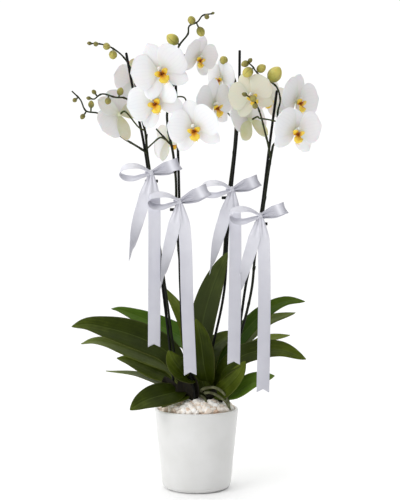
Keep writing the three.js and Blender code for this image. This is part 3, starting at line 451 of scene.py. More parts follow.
CROWNS = {"left": ((-16, 0), 182), "right": ((25, 4), 178)}  # where they stand, and top
CROWN_RADIUS, CROWN_FOOT = 8, 98
LEAVES = {  # crown, where it leaves it and how high, width, facing at foot and tip, tone, path
    "left_long": ("left", 158, 167, 54, (0, -0.78, 0.62), None, 0.2,
                  [(-46, 26, 215), (-82, 31, 236), (-120, 33, 250), (-150, 31, 258),
                   (-184, 27, 265), (-209, 22, 262)]),
    "left_back": ("left", 22, 170, 42, (0.1, -0.8, 0.6), (0.1, -0.75, 0.65), 0.4,
                  [(1, 13, 184), (6, 30, 203), (-2, 50, 220), (-26, 75, 238), (-69, 92, 259),
                   (-109, 94, 276), (-135, 89, 286), (-148, 84, 288)]),
    "left_middle": ("left", 160, 160, 40, (0, -0.55, 0.83), None, 0.5,
                    [(-40, 30, 187), (-62, 36, 199), (-91, 41, 211), (-119, 44, 221),
                     (-148, 46, 231), (-176, 45, 235), (-196, 44, 231)]),
    "left_lower": ("left", 162, 153, 44, (0, -0.62, 0.78), None, 0.4,
                   [(-50, 36, 177), (-70, 42, 185), (-92, 47, 194), (-114, 50, 202),
                    (-136, 52, 206)]),
    "left_edge": ("left", 166, 148, 30, (0, -0.12, 0.99), None, 0.6,
                  [(-58, 30, 163), (-100, 42, 177), (-154, 44, 185)]),
    "left_front": ("left", 228, 160, 44, (0.1, -0.75, 0.66), None, 0.18,
                   [(-43, -38, 158), (-64, -52, 155), (-85, -66, 149), (-104, -78, 139)]),
    "right_upright": ("right", 188, 174, 44, (-0.25, -0.95, 0.1), None, 0.2,
                      [(9, 2, 218), (10, 2, 265), (19, 1, 305), (36, -3, 354), (51, -6, 386)]),
    "right_broad": ("right", 224, 163, 44, (-0.4, -0.9, 0.1), None, 0.22,
                    [(13, -24, 200), (7, -28, 245), (-1, -27, 278)]),
    "right_long": ("right", 326, 162, 39, (-0.1, -0.75, 0.66), None, 0.25,
                   [(48, -27, 198), (82, -38, 222), (134, -45, 230), (176, -45, 215)]),
    "right_back": ("right", 64, 170, 33, (-0.1, -0.75, 0.65), None, 0.3,
                   [(40, 25, 195), (66, 42, 232), (111, 49, 280), (150, 48, 302), (184, 44, 303)]),
    "right_far": ("right", 82, 160, 34, (-0.3, -0.6, 0.75), None, 0.45,
                  [(36, 40, 184), (64, 62, 216), (120, 80, 264), (172, 90, 281)]),
    "right_low": ("right", 344, 151, 34, (-0.3, -0.75, 0.6), None, 0.62,
                  [(62, -28, 160), (94, -42, 180), (125, -50, 189)]),
    "right_side": ("right", 38, 152, 27, (-0.3, -0.5, 0.8), None, 0.55,
                   [(52, 16, 172), (70, 26, 203), (112, 27, 237), (156, 20, 248)]),
}
LEAF_THICKNESS = 2.2
VEIN_SPACING = 2
# How green the freshest leaves are, and how grey the oldest.
FRESH = {"left_back": 0.45, "right_low": 0.45, "right_back": 0.25}
DUSTY = {"right_upright": 0.4, "left_middle": 0.25, "left_edge": 0.4, "right_far": 0.4}


def on_crown(key, bearing, height):
    """A point a little way into a crown's side."""
    (x, y), away, angle = CROWNS[key][0], CROWN_RADIUS - 3, math.radians(bearing)
    return (x + away * math.cos(angle), y + away * math.sin(angle), height)


def plate(shape, rows, thick, **marks):
    """Adds a thin closed body round rows of middle points. thick is a function of the row and
    the place in it. A mark is even, or a function of these and the side: 0 front, 1 back."""
    last, end = len(rows) - 1, len(rows[0]) - 1
    grid = [(i, j) for i in range(last + 1) for j in range(end + 1)]
    front, back = [], []
    for i, j in grid:
        middle = rows[i][j]
        along = rows[min(i + 1, last)][j] - rows[max(i - 1, 0)][j]
        across = rows[i][min(j + 1, end)] - rows[i][max(j - 1, 0)]
        half = across.cross(along).normalized() * thick(i, j) / 2
        front.append(middle + half)
        back.append(middle - half)
    behind, width = len(front), end + 1
    faces = []
    for a in [i * width + j for i, j in grid if i < last and j < end]:
        faces.append([a, a + 1, a + width + 1, a + width])
        faces.append([behind + a, behind + a + width, behind + a + width + 1, behind + a + 1])
    edge = [*range(end), *[i * width + end for i in range(last)],
            *[last * width + j for j in range(end, 0, -1)],
            *[i * width for i in range(last, 0, -1)]]
    for a, b in zip(edge, edge[1:] + edge[:1]):
        faces.append([b, a, behind + a, behind + b])
    held = {name: [float(mark(i, j, side)) for side in (0, 1) for i, j in grid]
            if callable(mark) else mark for name, mark in marks.items()}
    return shape.add(front + back, faces, **held)


def leaf_half(u):
    """A strap leaf's half width along it, as a share of its greatest."""
    rise = 0.22 + 0.78 * math.sin(min(u / 0.5, 1) * math.pi / 2)
    past = max(0.0, (u - 0.5) / 0.5)
    return rise * max(1 - past ** 1.9, 0.006) ** 0.75


def blade(path, width, facing, tip_facing=None, fold=0.22, wave=1.0, thickness=LEAF_THICKNESS,
          steps=56, cells=18, tone=0.3, fresh=0.0, dusty=0.0):
    """A leaf along a path. facing is where its upper side looks near the crown."""
    at = bent(path)
    near, far = Vector(facing).normalized(), Vector(tip_facing or facing).normalized()
    places = [1 - (1 - k / steps) ** 1.7 for k in range(steps + 1)]  # closer near the tip
    spans = [2 * j / cells - 1 for j in range(cells + 1)]
    halves = [width / 2 * leaf_half(u) for u in places]
    rows = []
    for u, half in zip(places, halves):
        way = way_of(at, u)
        up = near.lerp(far, u)
        up = (up - way * up.dot(way)).normalized()
        across = way.cross(up)
        channel = fold * (1 + 1.4 * (1 - u) ** 3)
        rows.append([])
        for v in spans:
            hollow = math.sqrt(v * v + 0.012) - 0.11  # the rib's fold, a little rounded
            ripple = wave * v * abs(v) * math.sin(9 * u + 2.5 * v) * u
            rows[-1].append(at(u) + across * v * half + up * (hollow * half * channel + ripple))
    return plate(
        Shape(), rows, lambda i, j:
        thickness * (1 - 0.62 * abs(spans[j]) ** 3) * (1 - 0.45 * places[i] ** 4),
        side=lambda i, j, back: spans[j] * halves[i], edge=lambda i, j, back: abs(spans[j]),
        along=lambda i, j, back: places[i], back=lambda i, j, back: back,
        tone=tone, fresh=fresh, dusty=dusty)


# Living leaf: a deep olive skin under clear wax, with the long soft streaks that light lays along
# the wax painted into its colour.
# The rib is a faint pale line 2 mm wide, the veins beside it run 2 mm apart (drawn twice as
# coarse as the real ones), and the underside is paler.
leaf_skin, add, shader, spot = finish_named("waxy_leaf", IOR=1.42, Coat_Weight=0.03,
                                            Coat_Roughness=0.35, Specular_IOR_Level=0.11)
side, along, back, tone, edge, fresh, dusty = (
    add("Attribute", attribute_name=mark, out="Fac")
    for mark in ("side", "along", "back", "tone", "edge", "fresh", "dusty"))
mottle = add("TexNoise", spot, Scale=38, Detail=4, Roughness=0.6)  # 26 mm
patch = add("Math", mottle, 0.5, operation="SUBTRACT")
patch = add("Math", patch, 0.35, tone, operation="MULTIPLY_ADD")
# Painted sheen: lighter and darker streaks about 3 mm wide run the whole length between the veins.
strip = add("CombineXYZ", side, along, tone)
sheen_streak = add("TexNoise", strip, Scale=0.35, Detail=4)
sheen_streak = add("Math", sheen_streak, 0.5, operation="SUBTRACT")
patch = add("Math", sheen_streak, 0.32, patch, operation="MULTIPLY_ADD")
tip = add("MapRange", along, 0.55, 1, 0, 0.22)
patch = add("Math", patch, tip, operation="ADD")
olive = add("ValToRGB", patch,
            stops=[(0, "182003"), (0.3, "2f3a04"), (0.6, "5b681d"), (1, "8b994f")])
off_rib = add("Math", side, operation="ABSOLUTE")
rib = add("MapRange", off_rib, 0.3, 1.3, 0.14, 0)
under = add("Math", back, 0.55, operation="MULTIPLY")
rim_line = add("MapRange", edge, 0.94, 1, 0, 0.35)
colour = olive
for amount, tint in [(fresh, "2f6408"), (dusty, "4c5535"), (rib, "7f8f4a"), (under, "6d7c42"),
                     (rim_line, "5d5a2a")]:
    colour = add("Mix", amount, colour, tint, data_type="RGBA")
wave = add("Math", side, 2 * math.pi / VEIN_SPACING, operation="MULTIPLY")
vein = add("Math", wave, operation="SINE")
worn = add("TexNoise", spot, Scale=120, Detail=3)  # 8.3 mm
rough = add("MapRange", worn, 0.3, 0.7, 0.4, 0.58)
veins = add("Bump", Height=vein, Strength=0.18, Distance=0.0003)
grain = add("TexNoise", spot, Scale=500, Detail=2)  # 2 mm
skin = add("Bump", Height=grain, Strength=0.15, Distance=0.0003, Normal=veins)
add(shader, Base_Color=colour, Roughness=rough, Normal=skin)

for name, (key, bearing, height, width, facing, tip_facing, tone, path) in LEAVES.items():
    leaf = blade([on_crown(key, bearing, height), *path], width, facing, tip_facing, tone=tone,
                 fresh=FRESH.get(name, 0.0), dusty=DUSTY.get(name, 0.0))
    piece(f"leaf_{name}_blade", leaf, leaf_skin, "leaf_green", f"leaf_{name}")

# ---- Crowns -------------------------------------------------------------------------------
# The short stem of each plant, wrapped in the feet of its leaves. The youngest leaves stand on it
# and thick grey-green aerial roots leave it and dive into the stones.

CROWN_LEAVES = {  # paths, widths, where their upper sides look at foot and tip, tones
    "left": [
        ([(-15, -4, 168), (-15, -22, 181), (-27, -38, 197), (-38, -45, 213), (-45, -48, 229)],
         38, (0.1, -0.4, 0.9), (0.2, -0.95, 0.2), 0.25),
        ([(-15, 0, 174), (-12, 8, 222), (-17, 16, 264), (-33, 17, 298), (-54, 10, 328)],
         26, (0.4, -0.9, 0), (-0.7, -0.6, 0.3), 0.5),
        ([(-17, -4, 151), (-23, -28, 152), (-38, -46, 149), (-55, -60, 140)],
         24, (0.2, -0.4, 0.9), None, 0.3),
    ],
    "right": [
        ([(25, 0, 153), (40, -24, 160), (54, -38, 174), (68, -48, 192), (78, -54, 213)],
         34, (-0.5, -0.8, 0.3), None, 0.35),
        ([(25, 6, 168), (21, 22, 202), (28, 38, 224), (47, 52, 239), (72, 64, 249)],
         38, (-0.3, -0.9, 0.4), (-0.2, -0.7, 0.7), 0.3),
        ([(22, -2, 146), (15, -6, 158), (9, -8, 176), (5, -8, 200)],
         30, (0.1, -0.97, 0), None, 0.35),
    ],
}
CROWN_ROOTS = {
    "left": [[(-12, -2, 149), (4, -14, 152), (14, -26, 148), (18, -36, 134)]],
    "right": [
        [(20, 0, 152), (8, -18, 160), (16, -33, 167), (30, -37, 168), (43, -38, 160),
         (51, -33, 147), (53, -30, 134)],
        [(28, 10, 148), (24, 27, 151), (34, 38, 132)],
        [(22, -4, 148), (14, -24, 158), (25, -34, 159), (39, -37, 152), (50, -34, 142),
         (54, -29, 132)],
    ],
}

# Sheaths round the crowns' feet, drawn nearly black: partly dried leaf feet, partly painted shade
# that fills the dark middle of the plant.
CROWN_SHEATHS = {
    "left": [
        ([(-12, -2, 138), (-9, -8, 150), (-8, -12, 168), (-9, -14, 188)], 30, (-0.2, -0.95, 0)),
        ([(-20, -4, 136), (-34, -14, 148), (-46, -18, 166), (-52, -18, 184)],
         32, (0.2, -0.95, 0.1)),
        ([(-16, -6, 138), (-18, -16, 150), (-20, -20, 166), (-20, -20, 184)], 30, (0, -1, 0)),
    ],
    "right": [
        ([(20, 2, 136), (16, 4, 146), (13, 8, 164), (11, 10, 186)], 30, (0.2, -0.95, 0)),
        ([(26, -2, 136), (28, -10, 144), (30, -14, 154), (31, -15, 166)], 28, (0.1, -0.97, 0)),
    ],
}

# Root skin: a dry silvery-green felt over green, with brown where it is old.
root_skin, add, shader, spot = finish_named("aerial_root", IOR=1.4, Roughness=0.8)
felt = add("TexNoise", spot, Scale=110, Detail=5)  # 9.1 mm
silver = add("ValToRGB", felt, stops=[(0.25, "332e1c"), (0.5, "575a3c"), (0.8, "838567")])
relief = add("Bump", Height=felt, Strength=0.5, Distance=0.0008)
add(shader, Base_Color=silver, Normal=relief)

# Dried sheath and painted shade: the torn feet of old leaves, papery and lined along, drawn nearly
# black brown to stand for the deep shade in the middle of the plant.
dry_sheath_and_shade, add, shader, spot = finish_named("dried_sheath_painted_shade", IOR=1.4)
stretch = add("Mapping", spot, Scale=(700, 700, 60))  # 1.4 x 17 mm
fibre = add("TexNoise", stretch, Scale=1, Detail=4)
brown = add("ValToRGB", fibre, stops=[(0.3, "0f0c06"), (0.6, "1d190b"), (0.8, "3a3018")])
rough = add("MapRange", fibre, 0, 1, 0.7, 0.95)
relief = add("Bump", Height=fibre, Strength=0.6, Distance=0.0006)
add(shader, Base_Color=brown, Roughness=rough, Normal=relief)

for key, ((x, y), top) in CROWNS.items():
    node = f"crown_{key}"
    column = bent([(x, y, CROWN_FOOT + 2), (x, y, (CROWN_FOOT + top) / 2), (x, y, top - 6)])
    # Leaf feet wrap it in swellings about 26 mm apart.
    made = [("stem", leaf_skin, rod(
        Shape(), column,
        lambda u: CROWN_RADIUS - 1.2 + 1.2 * abs(math.sin(9 * u)) - 2 * u ** 6,
        sides=24, steps=60, tone=0.35, along=0.1))]
    for k, (path, width, facing, tip_facing, tone) in enumerate(CROWN_LEAVES[key], 1):
        young = blade(path, width, facing, tip_facing, tone=tone, thickness=1.9)
        made.append((f"young_leaf_{k}", leaf_skin, young))
    for k, (path, width, facing) in enumerate(CROWN_SHEATHS[key], 1):
        sheath = blade(path, width, facing, fold=0.5, wave=2.0, thickness=0.9, steps=30)
        made.append((f"old_sheath_{k}", dry_sheath_and_shade, sheath))
    for k, path in enumerate(CROWN_ROOTS[key], 1):
        root = rod(Shape(), bent(path), lambda u: 2.6 - 0.4 * u + 0.15 * math.sin(23 * u),
                   sides=14)
        made.append((f"root_{k}", root_skin, root))
    for name, finish, shape in made:
        piece(f"{node}_{name}", shape, finish, "crown_green", node)

# ---- Flower spikes ------------------------------------------------------------------------
# Each spike is one living stem that leaves the crown, is led up its stake, and branches near the
# top. Small scales sit at its joints. Its thinner stalks carry the blooms and the closed buds.

BLOOMS = {  # middle, where it faces, where its top points, size, and how far it cups, in degrees
    "01": ((-57, -77, 671), (0.08, -0.98, -0.12), (-0.42, 0, 0.9), 1.03, 8),
    "02": ((-66, -50, 628), (-0.25, -0.95, -0.18), (-0.5, 0, 0.9), 1.02, 22),
    "03": ((-100, 26, 672), (-0.45, 0.88, -0.1), (-0.1, 0, 1), 0.9, 6),
    "04": ((-127, -12, 612), (-0.6, 0.75, -0.15), (-0.8, -0.4, 0.45), 0.98, 6),
    "05": ((-3, -50, 586), (-0.16, -0.96, -0.24), (-0.2, 0, 1), 1.0, 22),
    "06": ((28, -19, 627), (0.7, -0.68, -0.2), (-0.25, 0, 1), 0.94, 6),
    "07": ((3, -15, 705), (0.58, -0.74, -0.32), (0.15, 0, 1), 0.78, 16),
    "08": ((42, 12, 676), (-0.72, -0.68, -0.15), (0.15, 0, 1), 0.7, 6),
    "09": ((89, -20, 642), (0.04, -0.98, -0.2), (-0.38, 0, 0.92), 0.84, 6),
    "10": ((122, 42, 645), (0.1, -0.95, -0.2), (0.3, 0, 1), 0.74, 6),
    "11": ((89, 8, 605), (-0.65, 0.72, -0.25), (-0.3, 0, 1), 0.97, 6),
    "12": ((167, 16, 639), (0.68, -0.71, -0.1), (0.2, 0, 0.97), 1.0, 14),
    "13": ((161, -32, 584), (0.36, -0.89, -0.24), (0.12, 0, 1), 0.98, 10),
    "14": ((-48, 18, 573), (0.7, 0.68, -0.2), (-0.45, 0.5, 0.67), 0.8, 6),
}
RECEPTACLE_BACK = 6
BRANCH_RADIUS, TWIG_RADIUS, STALK_RADIUS = 1.9, 1.2, 1.3
JOINT_SPACING, TWIG_JOINTS = 62, 24  # from one joint to the next, on a stem and on a branch
JOINT_HALF = 2.2  # half the length of the swelling at a joint
BUD_LENGTH = 1.15  # times its width
BUD_SUNK = 0.4  # where in a bud its stalk ends, as a share of the bud's length
STALK_STRAIGHT = 13  # the end of a stalk that runs straight in behind its bloom
# The foot on the crown; points below those by the stake, points by it (height, angle and
# distance from it) and points above; side branches; buds with their widths; bloom stalks.
SPIKES = {
    "a": {
        "foot": ("left", 215, 174), "low": [(-32, -5, 200)], "high": [],
        "by": [(240, 30, 6), (290, -20), (400, -45), (503, -45), (550, -45), (580, -10, 6),
               (605, 35, 6.5)],
        "branches": [
            [(-92, -5, 606), (-98, 2, 640), (-105, 7, 680), (-119, 2, 707), (-140, -12, 722),
             (-157, -19, 726), (-170, -23, 726)],
            [(-92, -5, 606), (-99, 1, 620), (-108, -6, 633), (-118, -20, 638), (-131, -32, 637),
             (-152, -40, 641), (-164, -40, 633)],
            [(-82, -15, 548), (-92, -20, 556), (-106, -12, 565), (-124, 0, 577), (-148, -6, 602),
             (-161, -10, 614), (-181, -12, 618), (-190, -14, 636), (-203, -18, 649)],
        ],
        "buds": [
            (-136, -20, 708, 15), (-146, -24, 721, 13), (-163, -28, 724, 9), (-174, -24, 726, 7),
            (-123, -34, 646, 12), (-142, -44, 629, 11), (-164, -48, 643, 8), (-173, -42, 634, 7),
            (-172, -16, 628, 11), (-186, -16, 608, 9), (-198, -22, 634, 8),
        ],
        "stalks": {
            "02": [(-90, -3, 614), (-80, -16, 622)],
            "03": [(-101, 5, 658)],
            "04": [(-86, -12, 585), (-94, -20, 590)],
            "14": [(-82, -13, 555), (-72, -2, 566)],
        },
    },
    "b": {
        "foot": ("left", -20, 170), "low": [(-8, -10, 205), (-17, -12, 245)],
        "by": [(300, 45), (350, 70), (400, 115), (456, 180), (505, 180)],
        "high": [(-38, -24, 547), (-45, -22, 582), (-48, -16, 613), (-42, -12, 640),
                 (-36, -11, 672)],
        "branches": [
            [(-36, -11, 672), (-33, -8, 702), (-29, -6, 725), (-14, -8, 745), (-12, -10, 757),
             (2, -12, 764), (10, -12, 774), (24, -12, 777)],
            [(-41, -23, 560), (-51, -26, 571), (-65, -30, 586)],
        ],
        "buds": [
            (-39, -12, 735, 20), (7, -10, 748, 15), (-8, -18, 765, 14), (17, -20, 770, 9),
            (27, -12, 778, 5),
        ],
        "stalks": {
            "01": [(-36, -11, 668), (-44, -36, 678)],
            "05": [(-42, -12, 640), (-20, -10, 640), (-14, -18, 615)],
            "07": [(-33, -8, 700), (-16, 4, 714)],
        },
    },
    "c": {
        "foot": ("right", 140, 166), "low": [(14, 19, 215), (28, 22, 285)],
        "by": [(380, 165), (430, 155), (477, 150), (560, 120)],
        "high": [(66, 21, 607), (67, 26, 642)],
        "branches": [[(67, 26, 642), (66, 25, 668), (58, 21, 690), (47, 19, 700)]],
        "buds": [(45, 3, 704, 15)],
        "stalks": {
            "06": [(66, 21, 602), (48, 16, 622)],
            "08": [(66, 24, 668)],
            "09": [(67, 26, 640), (81, 22, 650), (88, 8, 650)],
            "10": [(67, 26, 636), (96, 58, 648)],
        },
    },
    "d": {
        "foot": ("right", -26, 170),
        "low": [(42, 0, 188), (55, 4, 206), (76, 4, 262), (91, -2, 326)],
        "by": [(387, -20), (433, -45), (520, -45)], "high": [(125, -13, 560)],
        "branches": [
            [(122, -13, 540), (117, -18, 562), (111, -23, 584), (106, -29, 602), (99, -40, 619),
             (91, -46, 631), (80, -48, 638)],
            [(125, -13, 560), (133, -13, 574), (133, -15, 593), (133, -15, 616), (137, -15, 636),
             (131, -17, 656), (118, -20, 666), (103, -23, 674), (96, -25, 681), (91, -27, 688),
             (84, -27, 694)],
        ],
        "buds": [
            (127, -26, 675, 25), (105, -30, 684, 15), (83, -34, 677, 18), (79, -28, 692, 12),
            (87, -30, 697, 8), (77, -49, 639, 8), (91, -51, 632, 12), (94, -50, 620, 10),
        ],
        "stalks": {
            "11": [(133, -15, 600), (118, -16, 603), (103, -12, 606)],
            "12": [(133, -14, 590), (140, 6, 594), (148, 28, 606), (156, 38, 630)],
            "13": [(132, -13, 572), (145, -12, 583)],
        },
    },
}


def nearest(lines, point):
    """The point of some lines that lies nearest to another point."""
    goal = Vector(point)
    return min((spot for line in lines for spot in line.line), key=lambda s: (s - goal).length)


def jointed(at, start, end, spacing, swell):
    """The radius along a stem that tapers and swells at its joints."""
    count = max(round(at.length / spacing), 1)

    def radius(u):
        off = abs(((u * count) % 1) - 0.5) * spacing
        return start + (end - start) * u + swell * math.exp(-(off / JOINT_HALF) ** 2)

    return radius


def scale_leaf(shape, at, u, size, dice):
    """A small pointed scale that clasps a stem at a joint."""
    way, middle = way_of(at, u), at(u)
    out = way.orthogonal().normalized()
    out.rotate(Euler(way * dice.uniform(0, 6.3)))
    out = (out - way * out.dot(way)).normalized()
    across = way.cross(out)
    rows = []
    for k in range(9):
        t = k / 8
        half = size * (0.95 * (1 - t) ** 0.7 + 0.04)
        rows.append([
            middle + way * (t * size * 2.6 - 1.5) + across * half * v * 0.9
            + out * (size * (1.02 - 0.42 * v * v) + 0.5 * t * size) for v in (-1, -0.5, 0, 0.5, 1)])
    plate(shape, rows, lambda i, j: 0.5, tone=0.1)


# Stem skin: dark olive, satin, paler in the branches and stalks, with fine lines along it.
stem_skin, add, shader, spot = finish_named("flower_stem", IOR=1.45, Specular_IOR_Level=0.25)
tone = add("Attribute", attribute_name="tone", out="Fac")
stretch = add("Mapping", spot, Scale=(320, 320, 40))  # 3.1 x 25 mm
lined = add("TexNoise", stretch, Scale=1, Detail=3)
shade = add("Math", lined, 0.3, tone, operation="MULTIPLY_ADD")
olive = add("ValToRGB", shade,
            stops=[(0, "0a0c05"), (0.3, "171b0a"), (0.65, "444c1f"), (1, "868e44")])
rough = add("MapRange", lined, 0, 1, 0.38, 0.55)
relief = add("Bump", Height=lined, Strength=0.25, Distance=0.0003)
add(shader, Base_Color=olive, Roughness=rough, Normal=relief)

# Bud skin: olive to yellow-green, flushed brown along the seams where the bud will open, and
# duller on the youngest.
bud_skin, add, shader, spot = finish_named("closed_bud", IOR=1.42, Subsurface_Weight=0.12,
                                           Subsurface_Scale=0.002, Coat_Weight=0.1)
along, seam, young = (add("Attribute", attribute_name=mark, out="Fac")
                      for mark in ("along", "seam", "young"))
flecks = add("TexNoise", spot, Scale=220, Detail=4)  # 4.5 mm
mixed = add("Math", flecks, 0.35, along, operation="MULTIPLY_ADD")
leafy = add("ValToRGB", mixed, stops=[(0.1, "5c5a1e"), (0.5, "938f38"), (0.95, "cdc262")])
flush = add("MapRange", seam, 0.55, 1, 0, 0.6)
aged = add("Mix", young, leafy, "454320", data_type="RGBA")
tinted = add("Mix", flush, aged, "6d5428", data_type="RGBA")
rough = add("MapRange", flecks, 0, 1, 0.4, 0.6)
relief = add("Bump", Height=flecks, Strength=0.2, Distance=0.0004)
add(shader, Base_Color=tinted, Roughness=rough, Normal=relief)


def bud_body(shape, foot, way, size, dice):
    """Adds a closed bud: an egg with three seams and a blunt point."""
    length, sides, steps = size * BUD_LENGTH, 30, 20
    side = way.orthogonal().normalized()
    other = way.cross(side)
    start = dice.uniform(0, 2)
    points, along, seam = [], [], []
    for i in range(steps + 1):
        t = i / steps
        radius = size * 0.46 * math.sin(math.pi * min(max(t, 0.012), 0.988) ** 0.94) ** 0.54
        for j in range(sides):
            angle = 2 * math.pi * j / sides
            groove = max(0.0, math.cos(1.5 * (angle + start)) ** 2 - 0.86) / 0.14
            reach = radius * (1 - 0.09 * groove * math.sin(math.pi * t))
            points.append(foot + way * t * length
                          + (side * math.cos(angle) + other * math.sin(angle)) * reach)
            along.append(t)
            seam.append(groove)
    young = min(max((18 - size) / 12, 0.0), 0.75)  # the small ones are the youngest
    shape.add(points, sleeve(steps + 1, sides), along=along, seam=seam, young=young)


dice = random.Random(21)
for key, parts in SPIKES.items():
    node = f"spike_{key}"
    line = bent([on_crown(*parts["foot"]), *parts["low"],
                 *[on_stake(key, *place) for place in parts["by"]], *parts["high"]])
    thick = jointed(line, SPIKE_RADIUS, SPIKE_RADIUS * 0.9, JOINT_SPACING, 0.45)
    stem = rod(Shape(), line, thick, sides=14, steps=160, tone=0.12)
    joints = max(round(line.length / JOINT_SPACING), 1)
    for k in range(joints):
        scale_leaf(stem, line, (k + 0.5) / joints, SPIKE_RADIUS, dice)
    lines = [line]
    for start, *rest in parts["branches"]:
        branch = bent([nearest([line], start), *rest])
        lines.append(branch)
        rod(stem, branch, jointed(branch, BRANCH_RADIUS, TWIG_RADIUS, TWIG_JOINTS, 0.4),
            steps=90, tone=0.22)
    for name, (start, *rest) in parts["stalks"].items():
        at, face, _, size, _ = BLOOMS[name]
        face = Vector(face).normalized()
        end = Vector(at) - face * (RECEPTACLE_BACK * size - 1)
        stalk = bent([nearest(lines, start), *rest, end - face * STALK_STRAIGHT, end])
        rod(stem, stalk, lambda u: STALK_RADIUS + 0.5 * u ** 4, tone=0.4)
    buds = Shape()
    for *at, size in parts["buds"]:
        middle, start = Vector(at), nearest(lines, at)
        way, length = (middle - start).normalized(), size * BUD_LENGTH
        bud_body(buds, middle - way * length / 2, way, size, dice)
        if (middle - start).length > length * BUD_SUNK:
            end = middle - way * length * BUD_SUNK
            sag = (start + middle - way * length * BUD_SUNK) / 2 + Vector((0, 0, -0.6))
            rod(stem, bent([start, sag, end]), lambda u: TWIG_RADIUS * (1 + 0.25 * u),
                sides=10, steps=10, tone=0.35)
    piece(f"{node}_stem", stem, stem_skin, "stem_green", node)
    piece(f"{node}_buds", buds, bud_skin, "stem_green", node)

# ---- Bows ---------------------------------------------------------------------------------
# Each bow is one length of 20 mm white satin ribbon, passed round stake and spike and tied in
# front with two loops. It is squeezed into pleats in the knot and opens out flat from there.

RIBBON_WIDTH, RIBBON_THICKNESS = 20, 0.35
RIBBON_STEPS, RIBBON_CELLS = 90, 30
KNOT_FRONT = 9.6  # from the middle of stake and spike to the knot
KNOT_RADIUS, KNOT_HALF, WRAP_HALF = 4.7, 5.2, 4.5
WRAP_STEPS = 48
PINCHED = 6.5  # the ribbon's width in the knot
THREAD_SPACING = 0.5
PLEATS = 2
# The knot's height, side of the stake and shift to the side; how far the long tail falls, comes
# forward, and drifts half-way and at its tip; how far the short tail falls, comes forward and
# goes to the left; how much wider and higher than the usual the right loop is.
BOWS = {
    "a": (516, -45, 3.5, 284, 0, 5.5, 5, 144, 3, 35, 0, -5),
    "b": (469, 180, 3, 278, 30, 10, 18, 140, 0, 30, 0, 0),
    "c": (490, 150, 3, 281, 70, 5, 0, 142, 26, 38, -3, -4),
    "d": (446, -45, -2.5, 279, 62, 6, 0, 142, 2, 38, -6, -6),
}

# Woven satin: milky lavender white, with a silky sheen across the warp. The warp threads run
# along the ribbon, drawn 0.5 mm apart, five times as coarse as the real ones.
satin, add, shader, spot = finish_named("woven_satin_ribbon", IOR=1.5, Sheen_Weight=0.35,
                                        Sheen_Roughness=0.35, Sheen_Tint="f4f4ff", Anisotropic=0.4)
side, pinch = (add("Attribute", attribute_name=mark, out="Fac") for mark in ("side", "pinch"))
clouds = add("TexNoise", spot, Scale=45, Detail=3)  # 22 mm
milk = add("ValToRGB", clouds, stops=[(0.3, "e3e3eb"), (0.7, "eaeaf1")])
# Painted shade: a mark set on the knot, the wrap, the gathers and along the loops and tails draws
# the satin greyer.
deep = add("Math", pinch, 0.55, operation="MULTIPLY")
shaded = add("Mix", deep, milk, "9a9aa6", data_type="RGBA")
wave = add("Math", side, 2 * math.pi / THREAD_SPACING, operation="MULTIPLY")
warp = add("Math", wave, operation="SINE")
rough = add("MapRange", clouds, 0, 1, 0.34, 0.46)
threads = add("Bump", Height=warp, Strength=0.1, Distance=0.0001)
add(shader, Base_Color=shaded, Roughness=rough, Normal=threads)


def smooth(t):
    """An even step from 0 to 1 that starts and ends gently."""
    t = min(max(t, 0.0), 1.0)
    return t * t * (3 - 2 * t)


def ribbon(path, across, tip_across, place, open_at, painted_shade_at, close_at=None, notch=0.0, slant=0.0,
           sway=0.0, folded=0.3):
    """A ribbon along a path, and its length. It is folded up at the knot and full width from
    open_at on, and where close_at is given it is drawn in again from there to its other end.
    The function given after open_at is the painted shade along it: how much greyer the satin is
    drawn there, and more where it is gathered."""
    at = bent([Vector(point) + place for point in path])
    near, far = Vector(across).normalized(), Vector(tip_across or across).normalized()
    fold = RIBBON_WIDTH / (2 * PLEATS)
    spans = [2 * j / RIBBON_CELLS - 1 for j in range(RIBBON_CELLS + 1)]
    rows, painted_shade_rows = [], []
    for i in range(RIBBON_STEPS + 1):
        u = i / RIBBON_STEPS
        shut = max(1 - u / open_at, 0.0) ** 1.15
        if close_at is not None:
            shut = max(shut, max(1 - (1 - u) / (1 - close_at), 0.0) ** 1.15)
        # Painted shade: greyer where the ribbon is gathered, added to the painted shade given along
        # it.
        painted_shade_rows.append(painted_shade_at(u) + 0.35 * shut)
        width = RIBBON_WIDTH + (PINCHED - RIBBON_WIDTH) * shut
        deep = math.sqrt(max(fold ** 2 - (width / (2 * PLEATS)) ** 2, 0)) * folded
        rows.append([])
        for v in spans:
            cut = notch * (1 - abs(v)) + slant * (1 + v) / 2
            reach = u - cut * smooth((u - 0.8) / 0.2) / at.length
            way = way_of(at, reach)
            wide = near.lerp(far, u ** 1.5)
            wide = (wide - way * wide.dot(way)).normalized()
            pleat = math.sin(math.pi * PLEATS * v + 0.9)
            billow = sway * math.sin(math.pi * v * 0.5 + 5 * u) * (1 - shut)
            rows[-1].append(at(reach) + wide * v * width / 2
                            + wide.cross(way) * (deep * pleat + billow))
    shape = plate(Shape(), rows, lambda i, j: RIBBON_THICKNESS,
                  side=lambda i, j, back: spans[j] * RIBBON_WIDTH / 2,
                  pinch=lambda i, j, back: painted_shade_rows[i])
    return shape, at.length


